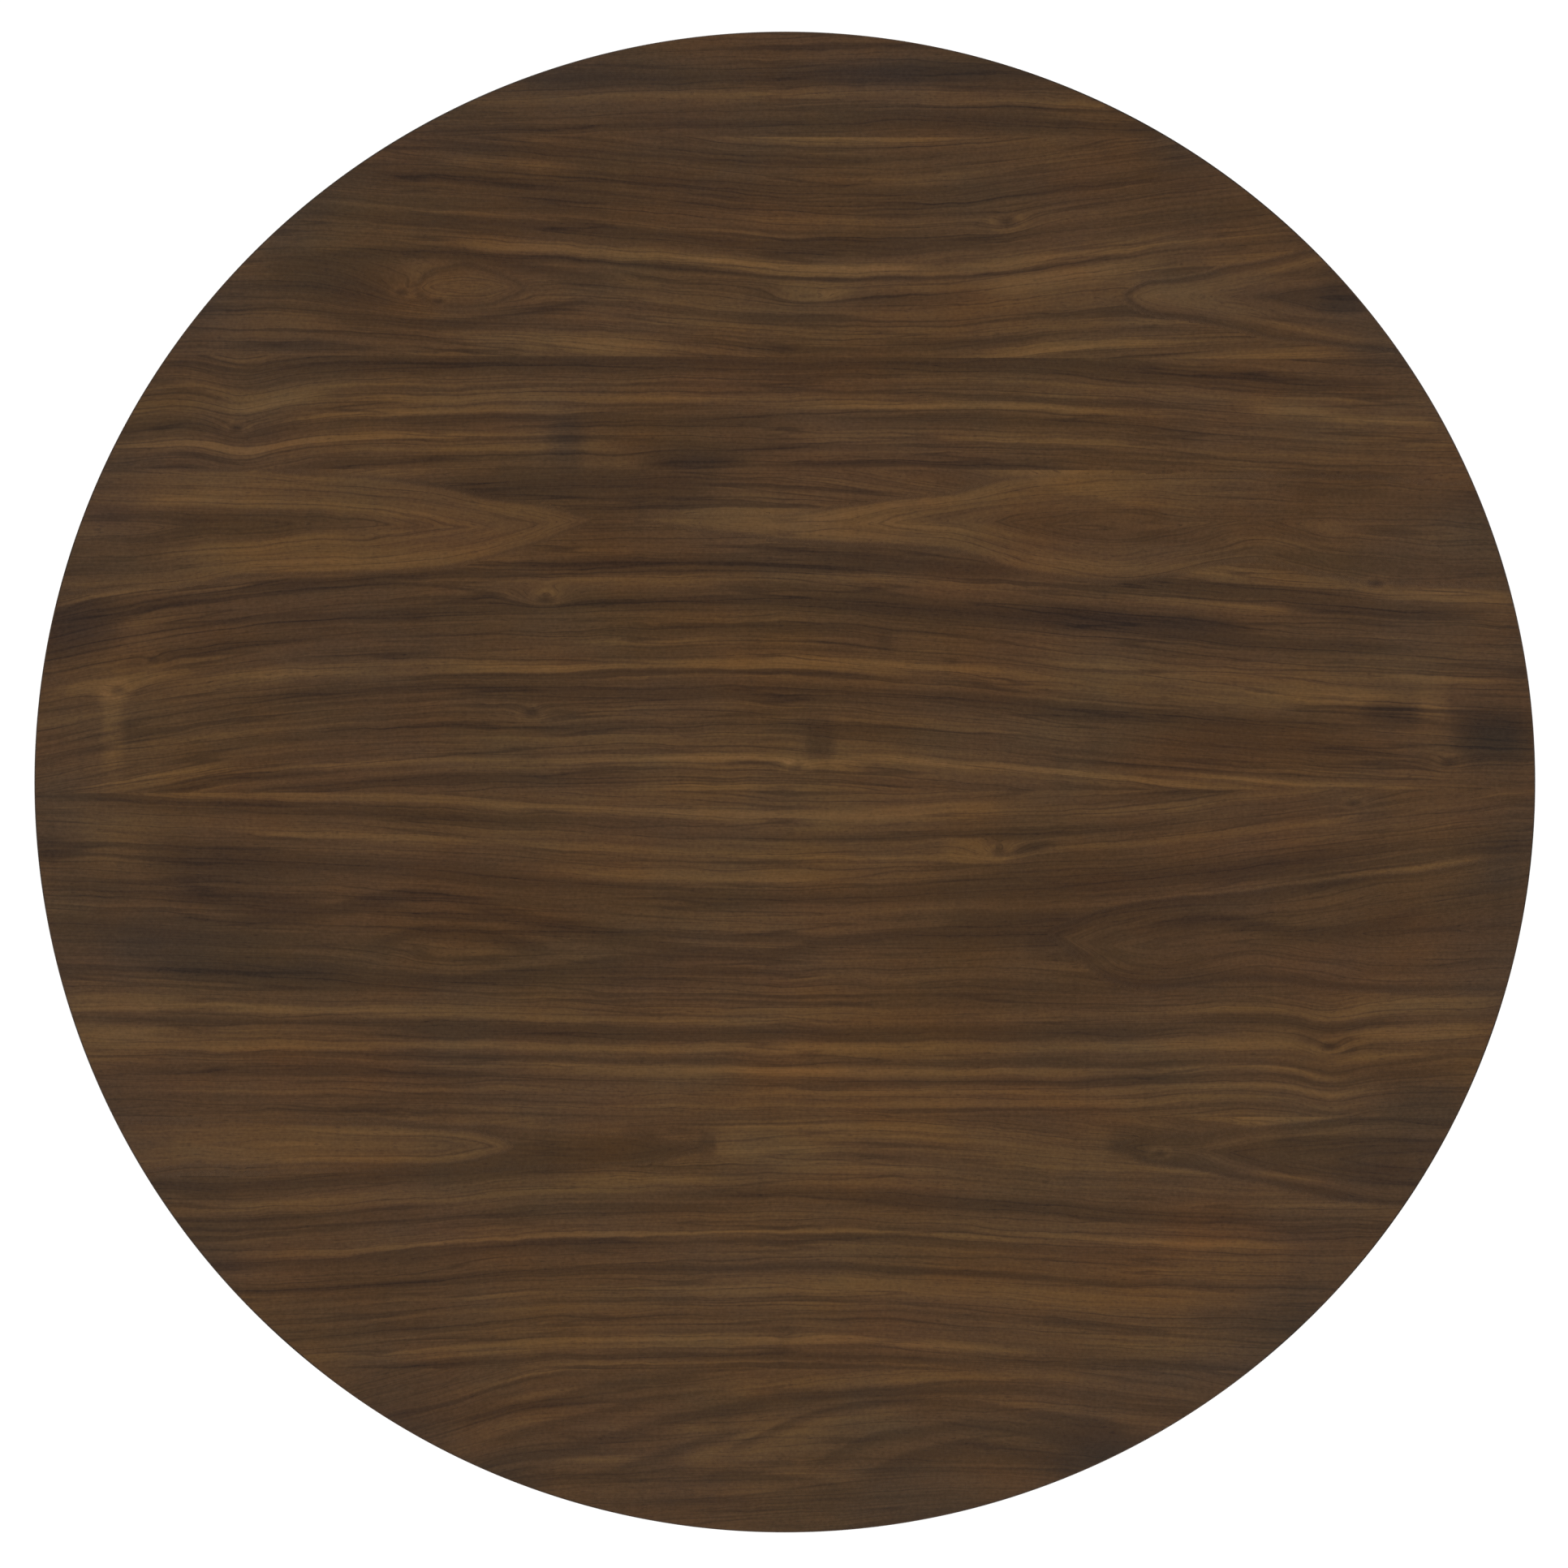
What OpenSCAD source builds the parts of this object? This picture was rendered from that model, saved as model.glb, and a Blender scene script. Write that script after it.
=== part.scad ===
// Round tilt-top pedestal table: a veneered board on two bearers, pivoted on a block that tops
// a turned column with four sabre legs. Millimetres, +Z up, origin on the floor under the column.

/* [Table top] */
// Diameter of the table top
top_d = 1067; // [1000:1:1200]
// Thickness of the finished board, veneers included
top_t = 26; // [22:0.5:32]
// Height of the table top above the floor
table_h = 740; // [720:1:760]
// Thickness of the face and backing veneers
veneer_t = 0.6; // [0.5:0.1:1]
// Thickness of the veneer band round the edge
band_t = 1; // [0.8:0.1:2]

/* [Tilting block] */
// Width of the block between the two bearers
block_w = 210; // [180:1:240]
// Length of the block, from the pivot side to the latch side
block_l = 220; // [200:1:260]
// Thickness of the block
block_t = 44; // [40:1:52]
// Free height between the block and the board, filled by the bumpers
bumper_gap = 2; // [1.5:0.1:3]

/* [Bearers] */
// Length of each bearer
bearer_l = 860; // [760:1:900]
// Width of each bearer
bearer_w = 28; // [26:1:34]
// Height of a bearer over its straight middle part
bearer_h = 44; // [42:1:50]
// Height of a bearer at its thin ends
bearer_end_h = 17; // [15:1:24]

/* [Pivots] */
// Diameter of the steel pivot pins
pin_d = 12; // [10:0.5:13]
// Wall thickness of the brass bushes in the bearers
bush_wall = 2; // [1.5:0.5:2.5]

/* [Latch] */
// Travel of the latch bolt
latch_travel = 9; // [7:0.5:10]
// Width of the latch bolt
bolt_w = 12; // [10:0.5:14]
// Height of the latch bolt
bolt_h = 8; // [6:0.5:9]

/* [Column] */
// Radius of the column where the legs join it
column_foot_r = 48; // [46:0.5:56]
// Radius of the column at its waist
column_waist_r = 30; // [28:0.5:38]
// Radius of the column under the block
column_head_r = 44; // [40:0.5:50]
// Diameter of the tenon on top of the column
tenon_d = 46; // [40:1:50]

/* [Legs and levellers] */
// Distance from the column's axis to the tip of a leg
leg_reach = 420; // [380:1:440]
// Height of the leg's root above the floor, at its top
leg_root_z = 292; // [280:1:310]
// Thickness of a leg at the column
leg_root_w = 34; // [30:1:36]
// Thickness of a leg at its tip
leg_tip_w = 26; // [24:1:30]
// Diameter of the levellers' nylon pads
pad_d = 24; // [20:1:26]

/* [Hidden] */
$fn = 96;

WALNUT = "#4f3a28";
WALNUT_DARK = "#463223";
MDF = "#a08460";
BRASS = "#b08d46";
STEEL = "#8d9094";
RUBBER = "#1d1c1b";
NYLON = "#2a2826";
ASH = "#c8a878";

// Seams between the veneer leaves, from the latch side to the pivot side: the y of each seam at
// the left and at the right of the board, since hand-jointed leaves aren't quite parallel.
seams = [[460, 457], [304, 300], [223, 221], [-8, -5], [-148, -152], [-238, -238], [-416, -419]];

board_r = top_d / 2 - band_t;         // radius inside the edge band
under_z = table_h - top_t;            // underside of the finished board
core_z = under_z + veneer_t;          // underside of the core
face_z = table_h - veneer_t;          // underside of the face veneers
block_top = under_z - bumper_gap;
block_bottom = block_top - block_t;
round_r = block_t / 2;                // rounding of the block's edge, about the pivot axis
pivot_y = -block_l / 2 + round_r;
pivot_z = block_bottom + round_r;
pin_r = pin_d / 2;
bush_r = pin_r + bush_wall;
slack = 0.05;                         // radial gap of parts that are pushed or glued together
side_gap = 1.5;                       // between the block and each bearer, filled by a washer
bearer_x = block_w / 2 + side_gap;    // inner face of a bearer
bearer_bottom = under_z - bearer_h;
bearer_straight = 480;                // length of the bearer's full-height middle
screw_seat_z = under_z - 19;          // where the bearer screws' heads seat
screw_y = [-370, -215, 40, 215, 370];
screw_reach = 16;                     // how far the bearer screws go into the board
screw_r = 2.25;
screw_head_r = 4.4;

latch_y = block_l / 2 + 2;            // front of the latch case
latch_case_w = 40;
latch_case_l = 62;
latch_case_h = 14;
latch_plate_w = 62;
latch_plate_t = 2;
latch_plate_l = 70;
bolt_l = 46;
bolt_z = under_z - 14;                // underside of the bolt
bolt_y = latch_y + 1;                 // nose of the bolt when it is drawn back
knob_y = bolt_y + 36;
knob_stem_r = 2.5;
latch_screw_xy = [[-25.5, 9], [25.5, 9], [-25.5, 61], [25.5, 61]];
strike_w = 42;
strike_h = 14;
strike_t = 2;
strike_screw_x = 15.5;

column_bottom = 96;
column_top = block_bottom;
tenon_top = block_top - 0.5;
seat_r = 44;                          // distance of the leg seats from the column's axis
seat_top = leg_root_z + 0.3;
dovetail_in = 30;                     // how near to the axis the dovetails reach
dovetail_neck = 16;
dovetail_wide = 22;
dovetail_bottom = 110;
dovetail_top = 268;
wedge_t = 3;
wedge_deep = 26;

leg_count = 4;
leg_angle = 45;
toe_bottom = 18;                      // underside of a leg at the leveller
toe_top = 52;
leveller_r = leg_reach - 24;          // distance of the levellers from the column's axis
stem_r = 3.95;
stem_top = 45;
insert_r = 5.5;
insert_l = 13;
pad_h = 9;
post_r = 3;                           // the stem's plain foot, which turns in the pad
post_bottom = 4;
run_gap = 0.05;                       // radial clearance of everything that turns
lift_gap = 0.3;                       // between faces of bodies that move past each other

spider_t = 4;
spider_hub_r = 42;
spider_arm_w = 24;
spider_arm_end = 98;
spider_screw_at = [20, 66, 92];

// Points of a cubic curve with end points a and d and handles b and c, the first point left out.
function curve(a, b, c, d, n) = [for (i = [1:n]) let (t = i / n, s = 1 - t)
    s * s * s * a + 3 * s * s * t * b + 3 * s * t * t * c + t * t * t * d];

// Points of an arc about a centre, from one angle to the other.
function arc(centre, r, from, to, n) = [for (i = [0:n]) let (q = from + (to - from) * i / n)
    centre + r * [cos(q), sin(q)]];

// A half cosine from 0 to 1.
function ease(t) = (1 - cos(180 * t)) / 2;

// Radius of the column's shaft at a share t of its height above the legs.
waist_at = 0.56;
function shaft_r(t) = t < waist_at
    ? column_foot_r - 5 + (column_waist_r - column_foot_r + 5) * ease(t / waist_at)
    : column_waist_r + (column_head_r - 3 - column_waist_r) * ease((t - waist_at) / (1 - waist_at));

module cylinder_x(r, x0, x1) {
    translate([x0, 0, 0]) rotate([0, 90, 0]) cylinder(r = r, h = x1 - x0);
}

// A countersunk wood screw with its head's face at z = 0, pointing up.
module wood_screw(length, r, head_r) {
    head_h = head_r - r;
    difference() {
        union() {
            cylinder(r1 = head_r, r2 = r, h = head_h);
            translate([0, 0, head_h]) cylinder(r = r, h = length - head_h - 2 * r);
            translate([0, 0, length - 2 * r]) cylinder(r1 = r, r2 = 0.3, h = 2 * r);
        }
        cross_recess(head_r);
    }
}

// A pan-head screw with its head below z = 0, pointing up.
module pan_screw(length, r, head_r) {
    head_h = 2.6;
    difference() {
        union() {
            translate([0, 0, -head_h]) cylinder(r1 = head_r - 1, r2 = head_r, h = 1);
            translate([0, 0, 1 - head_h]) cylinder(r = head_r, h = head_h - 1);
            cylinder(r = r, h = length - 2 * r);
            translate([0, 0, length - 2 * r]) cylinder(r1 = r, r2 = 0.3, h = 2 * r);
        }
        translate([0, 0, -head_h]) cross_recess(head_r);
    }
}

module cross_recess(head_r) {
    bar = head_r * 0.28;
    for (q = [0, 90]) rotate(q) translate([-head_r * 0.55, -bar / 2, -1])
        cube([head_r * 1.1, bar, 1 + head_r * 0.3]);
}

// Every screw that enters the board from below, as a pilot hole through the veneer and core.
module board_pilots() {
    for (side = [-1, 1], y = screw_y)
        translate([side * (bearer_x + bearer_w / 2), y, under_z - 1])
            cylinder(r = screw_r + slack, h = 1 + screw_reach + 0.5);
    for (p = latch_screw_xy)
        translate([p[0], latch_y + p[1], under_z - 1]) cylinder(r = 1.5 + slack, h = 14);
}

module core_board() {
    color(MDF) difference() {
        translate([0, 0, core_z]) cylinder(r = board_r, h = face_z - core_z, $fn = 256);
        board_pilots();
    }
}

module backing_veneer() {
    color(WALNUT_DARK) difference() {
        translate([0, 0, under_z]) cylinder(r = board_r, h = veneer_t, $fn = 256);
        board_pilots();
    }
}

module edge_band() {
    arris = 0.4;
    color(WALNUT_DARK) rotate_extrude($fn = 256) polygon([
        [board_r, under_z],
        [top_d / 2 - arris, under_z], [top_d / 2, under_z + arris],
        [top_d / 2, table_h - arris], [top_d / 2 - arris, table_h],
        [board_r, table_h]
    ]);
}

// Face leaf number n, counted from the latch side: the strip of the disc between two seams.
module veneer_leaf(n) {
    far = board_r + 1;
    edges = concat([[far, far]], seams, [[-far, -far]]);
    above = edges[n - 1];
    below = edges[n];
    color(WALNUT) intersection() {
        translate([0, 0, face_z]) cylinder(r = board_r, h = veneer_t, $fn = 256);
        translate([0, 0, face_z - 1]) linear_extrude(veneer_t + 2)
            polygon([[-far, below[0]], [far, below[1]], [far, above[1]], [-far, above[0]]]);
    }
}

// Side view of a bearer, y across and z up: straight in the middle, swept up at both ends.
module bearer_outline() {
    half = bearer_l / 2;
    straight = bearer_straight / 2;
    sweep = curve([straight, bearer_bottom], [straight + 60, bearer_bottom],
        [half - 90, under_z - bearer_end_h], [half - 4, under_z - bearer_end_h], 14);
    tip = [[half, under_z - bearer_end_h + 4], [half, under_z - 2], [half - 2, under_z]];
    right = concat([[straight, bearer_bottom]], sweep, tip);
    left = [for (i = [len(right) - 1:-1:0]) [-right[i][0], right[i][1]]];
    polygon(concat(right, left));
}

module bearer(side) {
    color(WALNUT_DARK) difference() {
        translate([side * (bearer_x + bearer_w / 2) - bearer_w / 2, 0, 0])
            rotate([90, 0, 90]) linear_extrude(bearer_w) bearer_outline();
        translate([0, pivot_y, pivot_z]) mirror([side < 0 ? 1 : 0, 0, 0])
            cylinder_x(bush_r + slack, bearer_x - 1, bearer_x + bearer_w + 1);
        for (y = screw_y) translate([side * (bearer_x + bearer_w / 2), y, 0]) {
            translate([0, 0, bearer_bottom - 1])
                cylinder(r = 5.2, h = screw_seat_z - bearer_bottom + 1);
            translate([0, 0, screw_seat_z - 0.5])
                cylinder(r1 = screw_head_r + 0.6, r2 = screw_r + 0.1, h = 2.75);
            translate([0, 0, screw_seat_z]) cylinder(r = screw_r + 0.1, h = 30);
        }
    }
}

module bearer_screws() {
    color(STEEL) for (side = [-1, 1], y = screw_y)
        translate([side * (bearer_x + bearer_w / 2), y, screw_seat_z])
            wood_screw(under_z + screw_reach - screw_seat_z, screw_r, screw_head_r);
}

module pivot_bush(side) {
    color(BRASS) translate([0, pivot_y, pivot_z]) mirror([side < 0 ? 1 : 0, 0, 0])
        difference() {
            cylinder_x(bush_r, bearer_x, bearer_x + bearer_w);
            cylinder_x(pin_r + run_gap, bearer_x - 1, bearer_x + bearer_w + 1);
        }
}

// A shouldered steel pin, screwed into the block, with a slotted head outside the bearer.
module pivot_pin(side) {
    head_x = bearer_x + bearer_w + 1.5;
    root_x = block_w / 2 - 42;
    color(STEEL) translate([0, pivot_y, pivot_z]) mirror([side < 0 ? 1 : 0, 0, 0])
        difference() {
            union() {
                cylinder_x(pin_r, root_x + 2, head_x);
                translate([root_x, 0, 0]) rotate([0, 90, 0])
                    cylinder(r1 = pin_r - 2, r2 = pin_r, h = 2);
                cylinder_x(10.5, head_x, head_x + 3.5);
                translate([head_x + 3.5, 0, 0]) rotate([0, 90, 0])
                    cylinder(r1 = 10.5, r2 = 9, h = 1.5);
            }
            translate([head_x + 3, -11, -0.9]) cube([4, 22, 1.8]);
        }
}

// One washer on each side of each bearer.
module pivot_washers() {
    washer_t = 0.9;
    color(BRASS) for (side = [-1, 1])
        translate([0, pivot_y, pivot_z]) mirror([side < 0 ? 1 : 0, 0, 0])
            for (x = [block_w / 2 + 0.1, bearer_x + bearer_w + 0.5]) difference() {
                cylinder_x(11.5, x, x + washer_t);
                cylinder_x(pin_r + 0.1, x - 1, x + 2);
            }
}

module latch_plate() {
    color(BRASS) difference() {
        translate([-latch_plate_w / 2, latch_y, under_z - latch_plate_t])
            cube([latch_plate_w, latch_plate_l, latch_plate_t]);
        for (p = latch_screw_xy) translate([p[0], latch_y + p[1], under_z - latch_plate_t]) {
            translate([0, 0, -1]) cylinder(r = 1.6, h = latch_plate_t + 2);
            translate([0, 0, -0.2]) cylinder(r1 = 3.2, r2 = 1.6, h = 1.6);
        }
    }
}

// The cast case under the plate, with a channel for the bolt and a slot for the knob's stem.
module latch_case() {
    top = under_z - latch_plate_t;
    bottom = top - latch_case_h;
    channel_w = bolt_w + 2 * lift_gap;
    slot_r = knob_stem_r + 0.5;
    edge = 2;
    color(BRASS) difference() {
        translate([0, latch_y, 0]) rotate([90, 0, 180]) mirror([1, 0, 0]) linear_extrude(latch_case_l)
            polygon([
                [-latch_case_w / 2, top], [-latch_case_w / 2, bottom + edge],
                [-latch_case_w / 2 + edge, bottom], [latch_case_w / 2 - edge, bottom],
                [latch_case_w / 2, bottom + edge], [latch_case_w / 2, top]
            ]);
        translate([-channel_w / 2, latch_y - 1, bolt_z - lift_gap])
            cube([channel_w, bolt_y + bolt_l + 0.5 - latch_y + 1, top - bolt_z + 1 + lift_gap]);
        for (y = [knob_y - latch_travel, knob_y])
            translate([0, y, bottom - 1]) cylinder(r = slot_r, h = 6);
        translate([-slot_r, knob_y - latch_travel, bottom - 1])
            cube([2 * slot_r, latch_travel, 6]);
    }
}

// A bowed strip between the plate and the bolt, whose pressure keeps the bolt where it is put.
module latch_friction_spring() {
    strip_t = 0.5;
    half = 20;
    high = under_z - latch_plate_t - 0.1;
    bow = high - strip_t - bolt_z - bolt_h - lift_gap;
    upper = [for (i = [-10:10]) [half * i / 10, high - bow * cos(9 * i)]];
    lower = [for (p = upper) [p[0], p[1] - strip_t]];
    color(BRASS) translate([-4, bolt_y + 24, 0]) rotate([90, 0, 90]) linear_extrude(8)
        polygon(concat(upper, [for (i = [20:-1:0]) lower[i]]));
}

module latch_screws() {
    color(BRASS) for (p = latch_screw_xy)
        translate([p[0], latch_y + p[1], under_z - latch_plate_t + 0.1])
            wood_screw(14, 1.5, 2.9);
}

module latch_bolt() {
    nose = 5;
    color(BRASS) difference() {
        translate([-bolt_w / 2, 0, 0]) rotate([90, 0, 90]) linear_extrude(bolt_w) polygon([
            [bolt_y, bolt_z + bolt_h], [bolt_y, bolt_z + bolt_h - 4],
            [bolt_y + nose - 1, bolt_z], [bolt_y + bolt_l, bolt_z],
            [bolt_y + bolt_l, bolt_z + bolt_h]
        ]);
        translate([0, knob_y, bolt_z - 1]) cylinder(r = knob_stem_r + slack, h = 7);
    }
}

// The turned knob under the case, with its stem up into the bolt.
module latch_knob() {
    head_top = under_z - latch_plate_t - latch_case_h - 0.5;
    color(BRASS) translate([0, knob_y, 0]) rotate_extrude() polygon(concat(
        [[0, bolt_z + 5.8], [knob_stem_r, bolt_z + 5.8], [knob_stem_r, head_top - 3]],
        [[5, head_top - 3], [5, head_top - 4.2], [3.6, head_top - 5.5]],
        arc([3.2, head_top - 11], 4.8, 78, -78, 12),
        [[0, head_top - 16]]
    ));
}

// The block's side view, y across and z up, rounded about the pivot so that the board can turn.
module block_outline() {
    half = block_l / 2;
    edge = 3;
    polygon(concat(
        [[half - edge, block_bottom], [half, block_bottom + edge]],
        [[half, block_top - 1], [half - 1, block_top]],
        arc([pivot_y, pivot_z], round_r, 90, 180, 20),
        [[-half, block_bottom + edge + 6], [-half + edge + 6, block_bottom]]
    ));
}

module pivot_block() {
    corner = 4;
    half_w = block_w / 2;
    half_l = block_l / 2;
    color(WALNUT_DARK) difference() {
        intersection() {
            translate([-half_w, 0, 0]) rotate([90, 0, 90]) linear_extrude(block_w) block_outline();
            translate([0, 0, block_bottom - 1]) linear_extrude(block_t + 2) polygon([
                [half_w, -half_l - 1], [half_w, half_l - corner], [half_w - corner, half_l + 0.01],
                [-half_w + corner, half_l + 0.01], [-half_w, half_l - corner], [-half_w, -half_l - 1]
            ]);
        }
        translate([0, 0, block_bottom - 1]) cylinder(r = tenon_d / 2 + slack, h = block_t + 2);
        for (m = [0, 1]) mirror([m, 0, 0]) translate([0, pivot_y, pivot_z])
            cylinder_x(pin_r + slack, half_w - 43, half_w + 1);
        strike_space(slack, strike_t + slack);
        translate([-bolt_w / 2 - 1, half_l - 16, bolt_z - 1]) cube([bolt_w + 2, 17, bolt_h + 2]);
        for (side = [-1, 1])
            translate([side * strike_screw_x, half_l - 15, bolt_z + bolt_h / 2])
                rotate([-90, 0, 0]) cylinder(r = 1.25 + slack, h = 16);
    }
}

// The outline of the strike plate on the block's latch side, grown by a gap.
module strike_space(gap, depth) {
    translate([-strike_w / 2 - gap, block_l / 2 - depth, bolt_z + (bolt_h - strike_h) / 2 - gap])
        cube([strike_w + 2 * gap, depth + 0.001, strike_h + 2 * gap]);
}

module strike_plate() {
    color(BRASS) difference() {
        strike_space(0, strike_t);
        translate([-bolt_w / 2 - 0.5, block_l / 2 - 4, bolt_z - 0.5]) cube([bolt_w + 1, 6, bolt_h + 1]);
        for (side = [-1, 1])
            translate([side * strike_screw_x, block_l / 2, bolt_z + bolt_h / 2]) rotate([90, 0, 0]) {
                translate([0, 0, -1]) cylinder(r = 1.4, h = 6);
                translate([0, 0, -0.2]) cylinder(r1 = 3, r2 = 1.4, h = 1.6);
            }
    }
}

module strike_screws() {
    color(BRASS) for (side = [-1, 1])
        translate([side * strike_screw_x, block_l / 2 - 0.1, bolt_z + bolt_h / 2])
            rotate([90, 0, 0]) wood_screw(14, 1.25, 2.5);
}

// Rubber buttons: four on the block for the level board, two on its side for the tilted board.
module bumpers() {
    color(RUBBER) for (x = [-72, 72]) {
        for (y = [-55, 78]) translate([x, y, block_top]) button();
        translate([x, -block_l / 2, pivot_z - 7]) rotate([90, 0, 0]) button();
    }
}

module button() {
    r = 5.5;
    h = bumper_gap - lift_gap;
    cylinder(r = r, h = h / 2);
    translate([0, 0, h / 2]) cylinder(r1 = r, r2 = r - 0.7, h = h / 2);
}

module column() {
    shaft_bottom = leg_root_z + 12;
    steps = 36;
    shaft = [for (i = [0:steps]) let (t = i / steps)
        [shaft_r(t), shaft_bottom + t * (column_top - 12 - shaft_bottom)]];
    outline = concat(
        [[0, column_bottom], [column_foot_r - 2, column_bottom]],
        [[column_foot_r, column_bottom + 2], [column_foot_r, shaft_bottom - 5]],
        [[column_foot_r - 2, shaft_bottom - 3], [column_foot_r - 5, shaft_bottom - 3]],
        shaft,
        [[column_head_r - 3, column_top - 9], [column_head_r, column_top - 7]],
        [[column_head_r, column_top - 2], [column_head_r - 2, column_top]],
        [[tenon_d / 2, column_top], [tenon_d / 2, tenon_top - 1]],
        [[tenon_d / 2 - 1, tenon_top], [0, tenon_top]]
    );
    color(WALNUT_DARK) difference() {
        rotate_extrude() polygon(outline);
        for (i = [0:leg_count - 1]) rotate(leg_angle + 360 / leg_count * i) {
            translate([seat_r, -30, column_bottom - 1]) cube([20, 60, seat_top - column_bottom + 1]);
            dovetail(0.1, column_bottom - 1, dovetail_top + 0.5);
            translate([spider_screw_at[0], 0, column_bottom - 1]) cylinder(r = 2 + slack, h = 24);
        }
        wedge_kerf();
    }
}

// The dovetail key between a leg and the column, grown by a gap, from one height to another.
module dovetail(gap, from, to) {
    translate([0, 0, from]) linear_extrude(to - from) polygon([
        [seat_r + 0.01, -dovetail_neck / 2 - gap], [seat_r + 0.01, dovetail_neck / 2 + gap],
        [dovetail_in - gap, dovetail_wide / 2 + gap], [dovetail_in - gap, -dovetail_wide / 2 - gap]
    ]);
}

// The saw kerf in the tenon, and the wedge that spreads it in the block.
module wedge_kerf() {
    translate([-tenon_d / 2 - 1, -wedge_t / 2, tenon_top - wedge_deep])
        cube([tenon_d + 2, wedge_t, wedge_deep + 1]);
}

module tenon_wedge() {
    thick = wedge_t - 2 * slack;
    color(ASH) intersection() {
        translate([-tenon_d / 2, -thick / 2, tenon_top - wedge_deep + slack])
            cube([tenon_d, thick, wedge_deep - slack]);
        translate([0, 0, block_bottom]) cylinder(r = tenon_d / 2 - 0.2, h = block_t);
    }
}

// Side view of a leg, distance from the axis across and z up.
module leg_outline() {
    toe = leg_reach;
    upper = curve([seat_r, leg_root_z], [seat_r + 40, 212], [185, 108], [toe - 22, toe_top], 22);
    tip = arc([toe - 12, toe_top - 13], 12, 75, 0, 6);
    lower = curve([toe - 46, toe_bottom], [toe - 150, 44], [180, 92],
        [spider_arm_end + 10, column_bottom], 18);
    polygon(concat(
        [[seat_r, column_bottom], [seat_r, leg_root_z]], upper, tip,
        [[toe, toe_bottom + 2], [toe - 2, toe_bottom], [toe - 46, toe_bottom]], lower
    ));
}

// Plan of a leg: it thins from the column to its round-cornered tip.
module leg_plan() {
    half_root = leg_root_w / 2;
    half_tip = leg_tip_w / 2;
    toe_r = 8;
    right = arc([leg_reach - toe_r, half_tip - toe_r], toe_r, 0, 90, 6);
    polygon(concat(
        [[seat_r, -half_root]],
        [for (i = [len(right) - 1:-1:0]) [right[i][0], -right[i][1]]],
        right,
        [[seat_r, half_root]]
    ));
}

module leg(n) {
    color(WALNUT_DARK) rotate(leg_angle + 360 / leg_count * (n - 1)) difference() {
        union() {
            intersection() {
                translate([0, 30, 0]) rotate([90, 0, 0]) linear_extrude(60) leg_outline();
                linear_extrude(leg_root_z + 1) leg_plan();
            }
            dovetail(0, dovetail_bottom, dovetail_top);
        }
        translate([leveller_r, 0, toe_bottom - 1]) {
            cylinder(r = insert_r + slack, h = 1 + insert_l + 0.5);
            cylinder(r = stem_r + lift_gap, h = stem_top + 2 - toe_bottom);
        }
        for (x = [spider_screw_at[1], spider_screw_at[2]])
            translate([x, 0, column_bottom - 1]) cylinder(r = 2 + slack, h = 24);
    }
}

// A four-armed plate that ties the legs to the foot of the column.
module spider_plate() {
    z = column_bottom - spider_t;
    color(STEEL) difference() {
        union() {
            translate([0, 0, z]) cylinder(r = spider_hub_r, h = spider_t);
            for (i = [0:leg_count - 1]) rotate(leg_angle + 360 / leg_count * i) {
                translate([0, -spider_arm_w / 2, z])
                    cube([spider_arm_end - spider_arm_w / 2, spider_arm_w, spider_t]);
                translate([spider_arm_end - spider_arm_w / 2, 0, z])
                    cylinder(r = spider_arm_w / 2, h = spider_t);
            }
        }
        at_spider_screws() translate([0, 0, -spider_t - 1]) cylinder(r = 2.3, h = spider_t + 2);
    }
}

module at_spider_screws() {
    for (i = [0:leg_count - 1], x = spider_screw_at)
        rotate(leg_angle + 360 / leg_count * i) translate([x, 0, column_bottom]) children();
}

module spider_screws() {
    color(STEEL) at_spider_screws() translate([0, 0, -spider_t]) pan_screw(24, 2, 4.2);
}

// Places a leveller part under the tip of leg n.
module at_leveller(n) {
    rotate(leg_angle + 360 / leg_count * (n - 1)) translate([leveller_r, 0, 0]) children();
}

module leveller_inserts() {
    color(BRASS) for (n = [1:leg_count]) at_leveller(n) translate([0, 0, toe_bottom])
        difference() {
            cylinder(r = insert_r, h = insert_l);
            translate([0, 0, -1]) cylinder(r = stem_r + run_gap, h = insert_l + 2);
        }
}

// The threaded stem with its hexagon, screwed fully home.
module leveller_stem(n) {
    hex_bottom = pad_h + lift_gap;
    hex_top = toe_bottom - lift_gap;
    color(STEEL) at_leveller(n) {
        translate([0, 0, post_bottom]) cylinder(r = post_r, h = hex_bottom - post_bottom);
        translate([0, 0, hex_bottom]) cylinder(r = 7.5, h = hex_top - hex_bottom, $fn = 6);
        translate([0, 0, hex_top]) cylinder(r = stem_r, h = stem_top - 1 - hex_top);
        translate([0, 0, stem_top - 1]) cylinder(r1 = stem_r, r2 = stem_r - 1, h = 1);
    }
}

module leveller_pad(n) {
    r = pad_d / 2;
    color(NYLON) at_leveller(n) rotate_extrude() polygon([
        [0, 0], [r - 1, 0], [r, 1], [r, 5], [r - 3, pad_h],
        [post_r + run_gap, pad_h], [post_r + run_gap, post_bottom - lift_gap],
        [0, post_bottom - lift_gap]
    ]);
}

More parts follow.
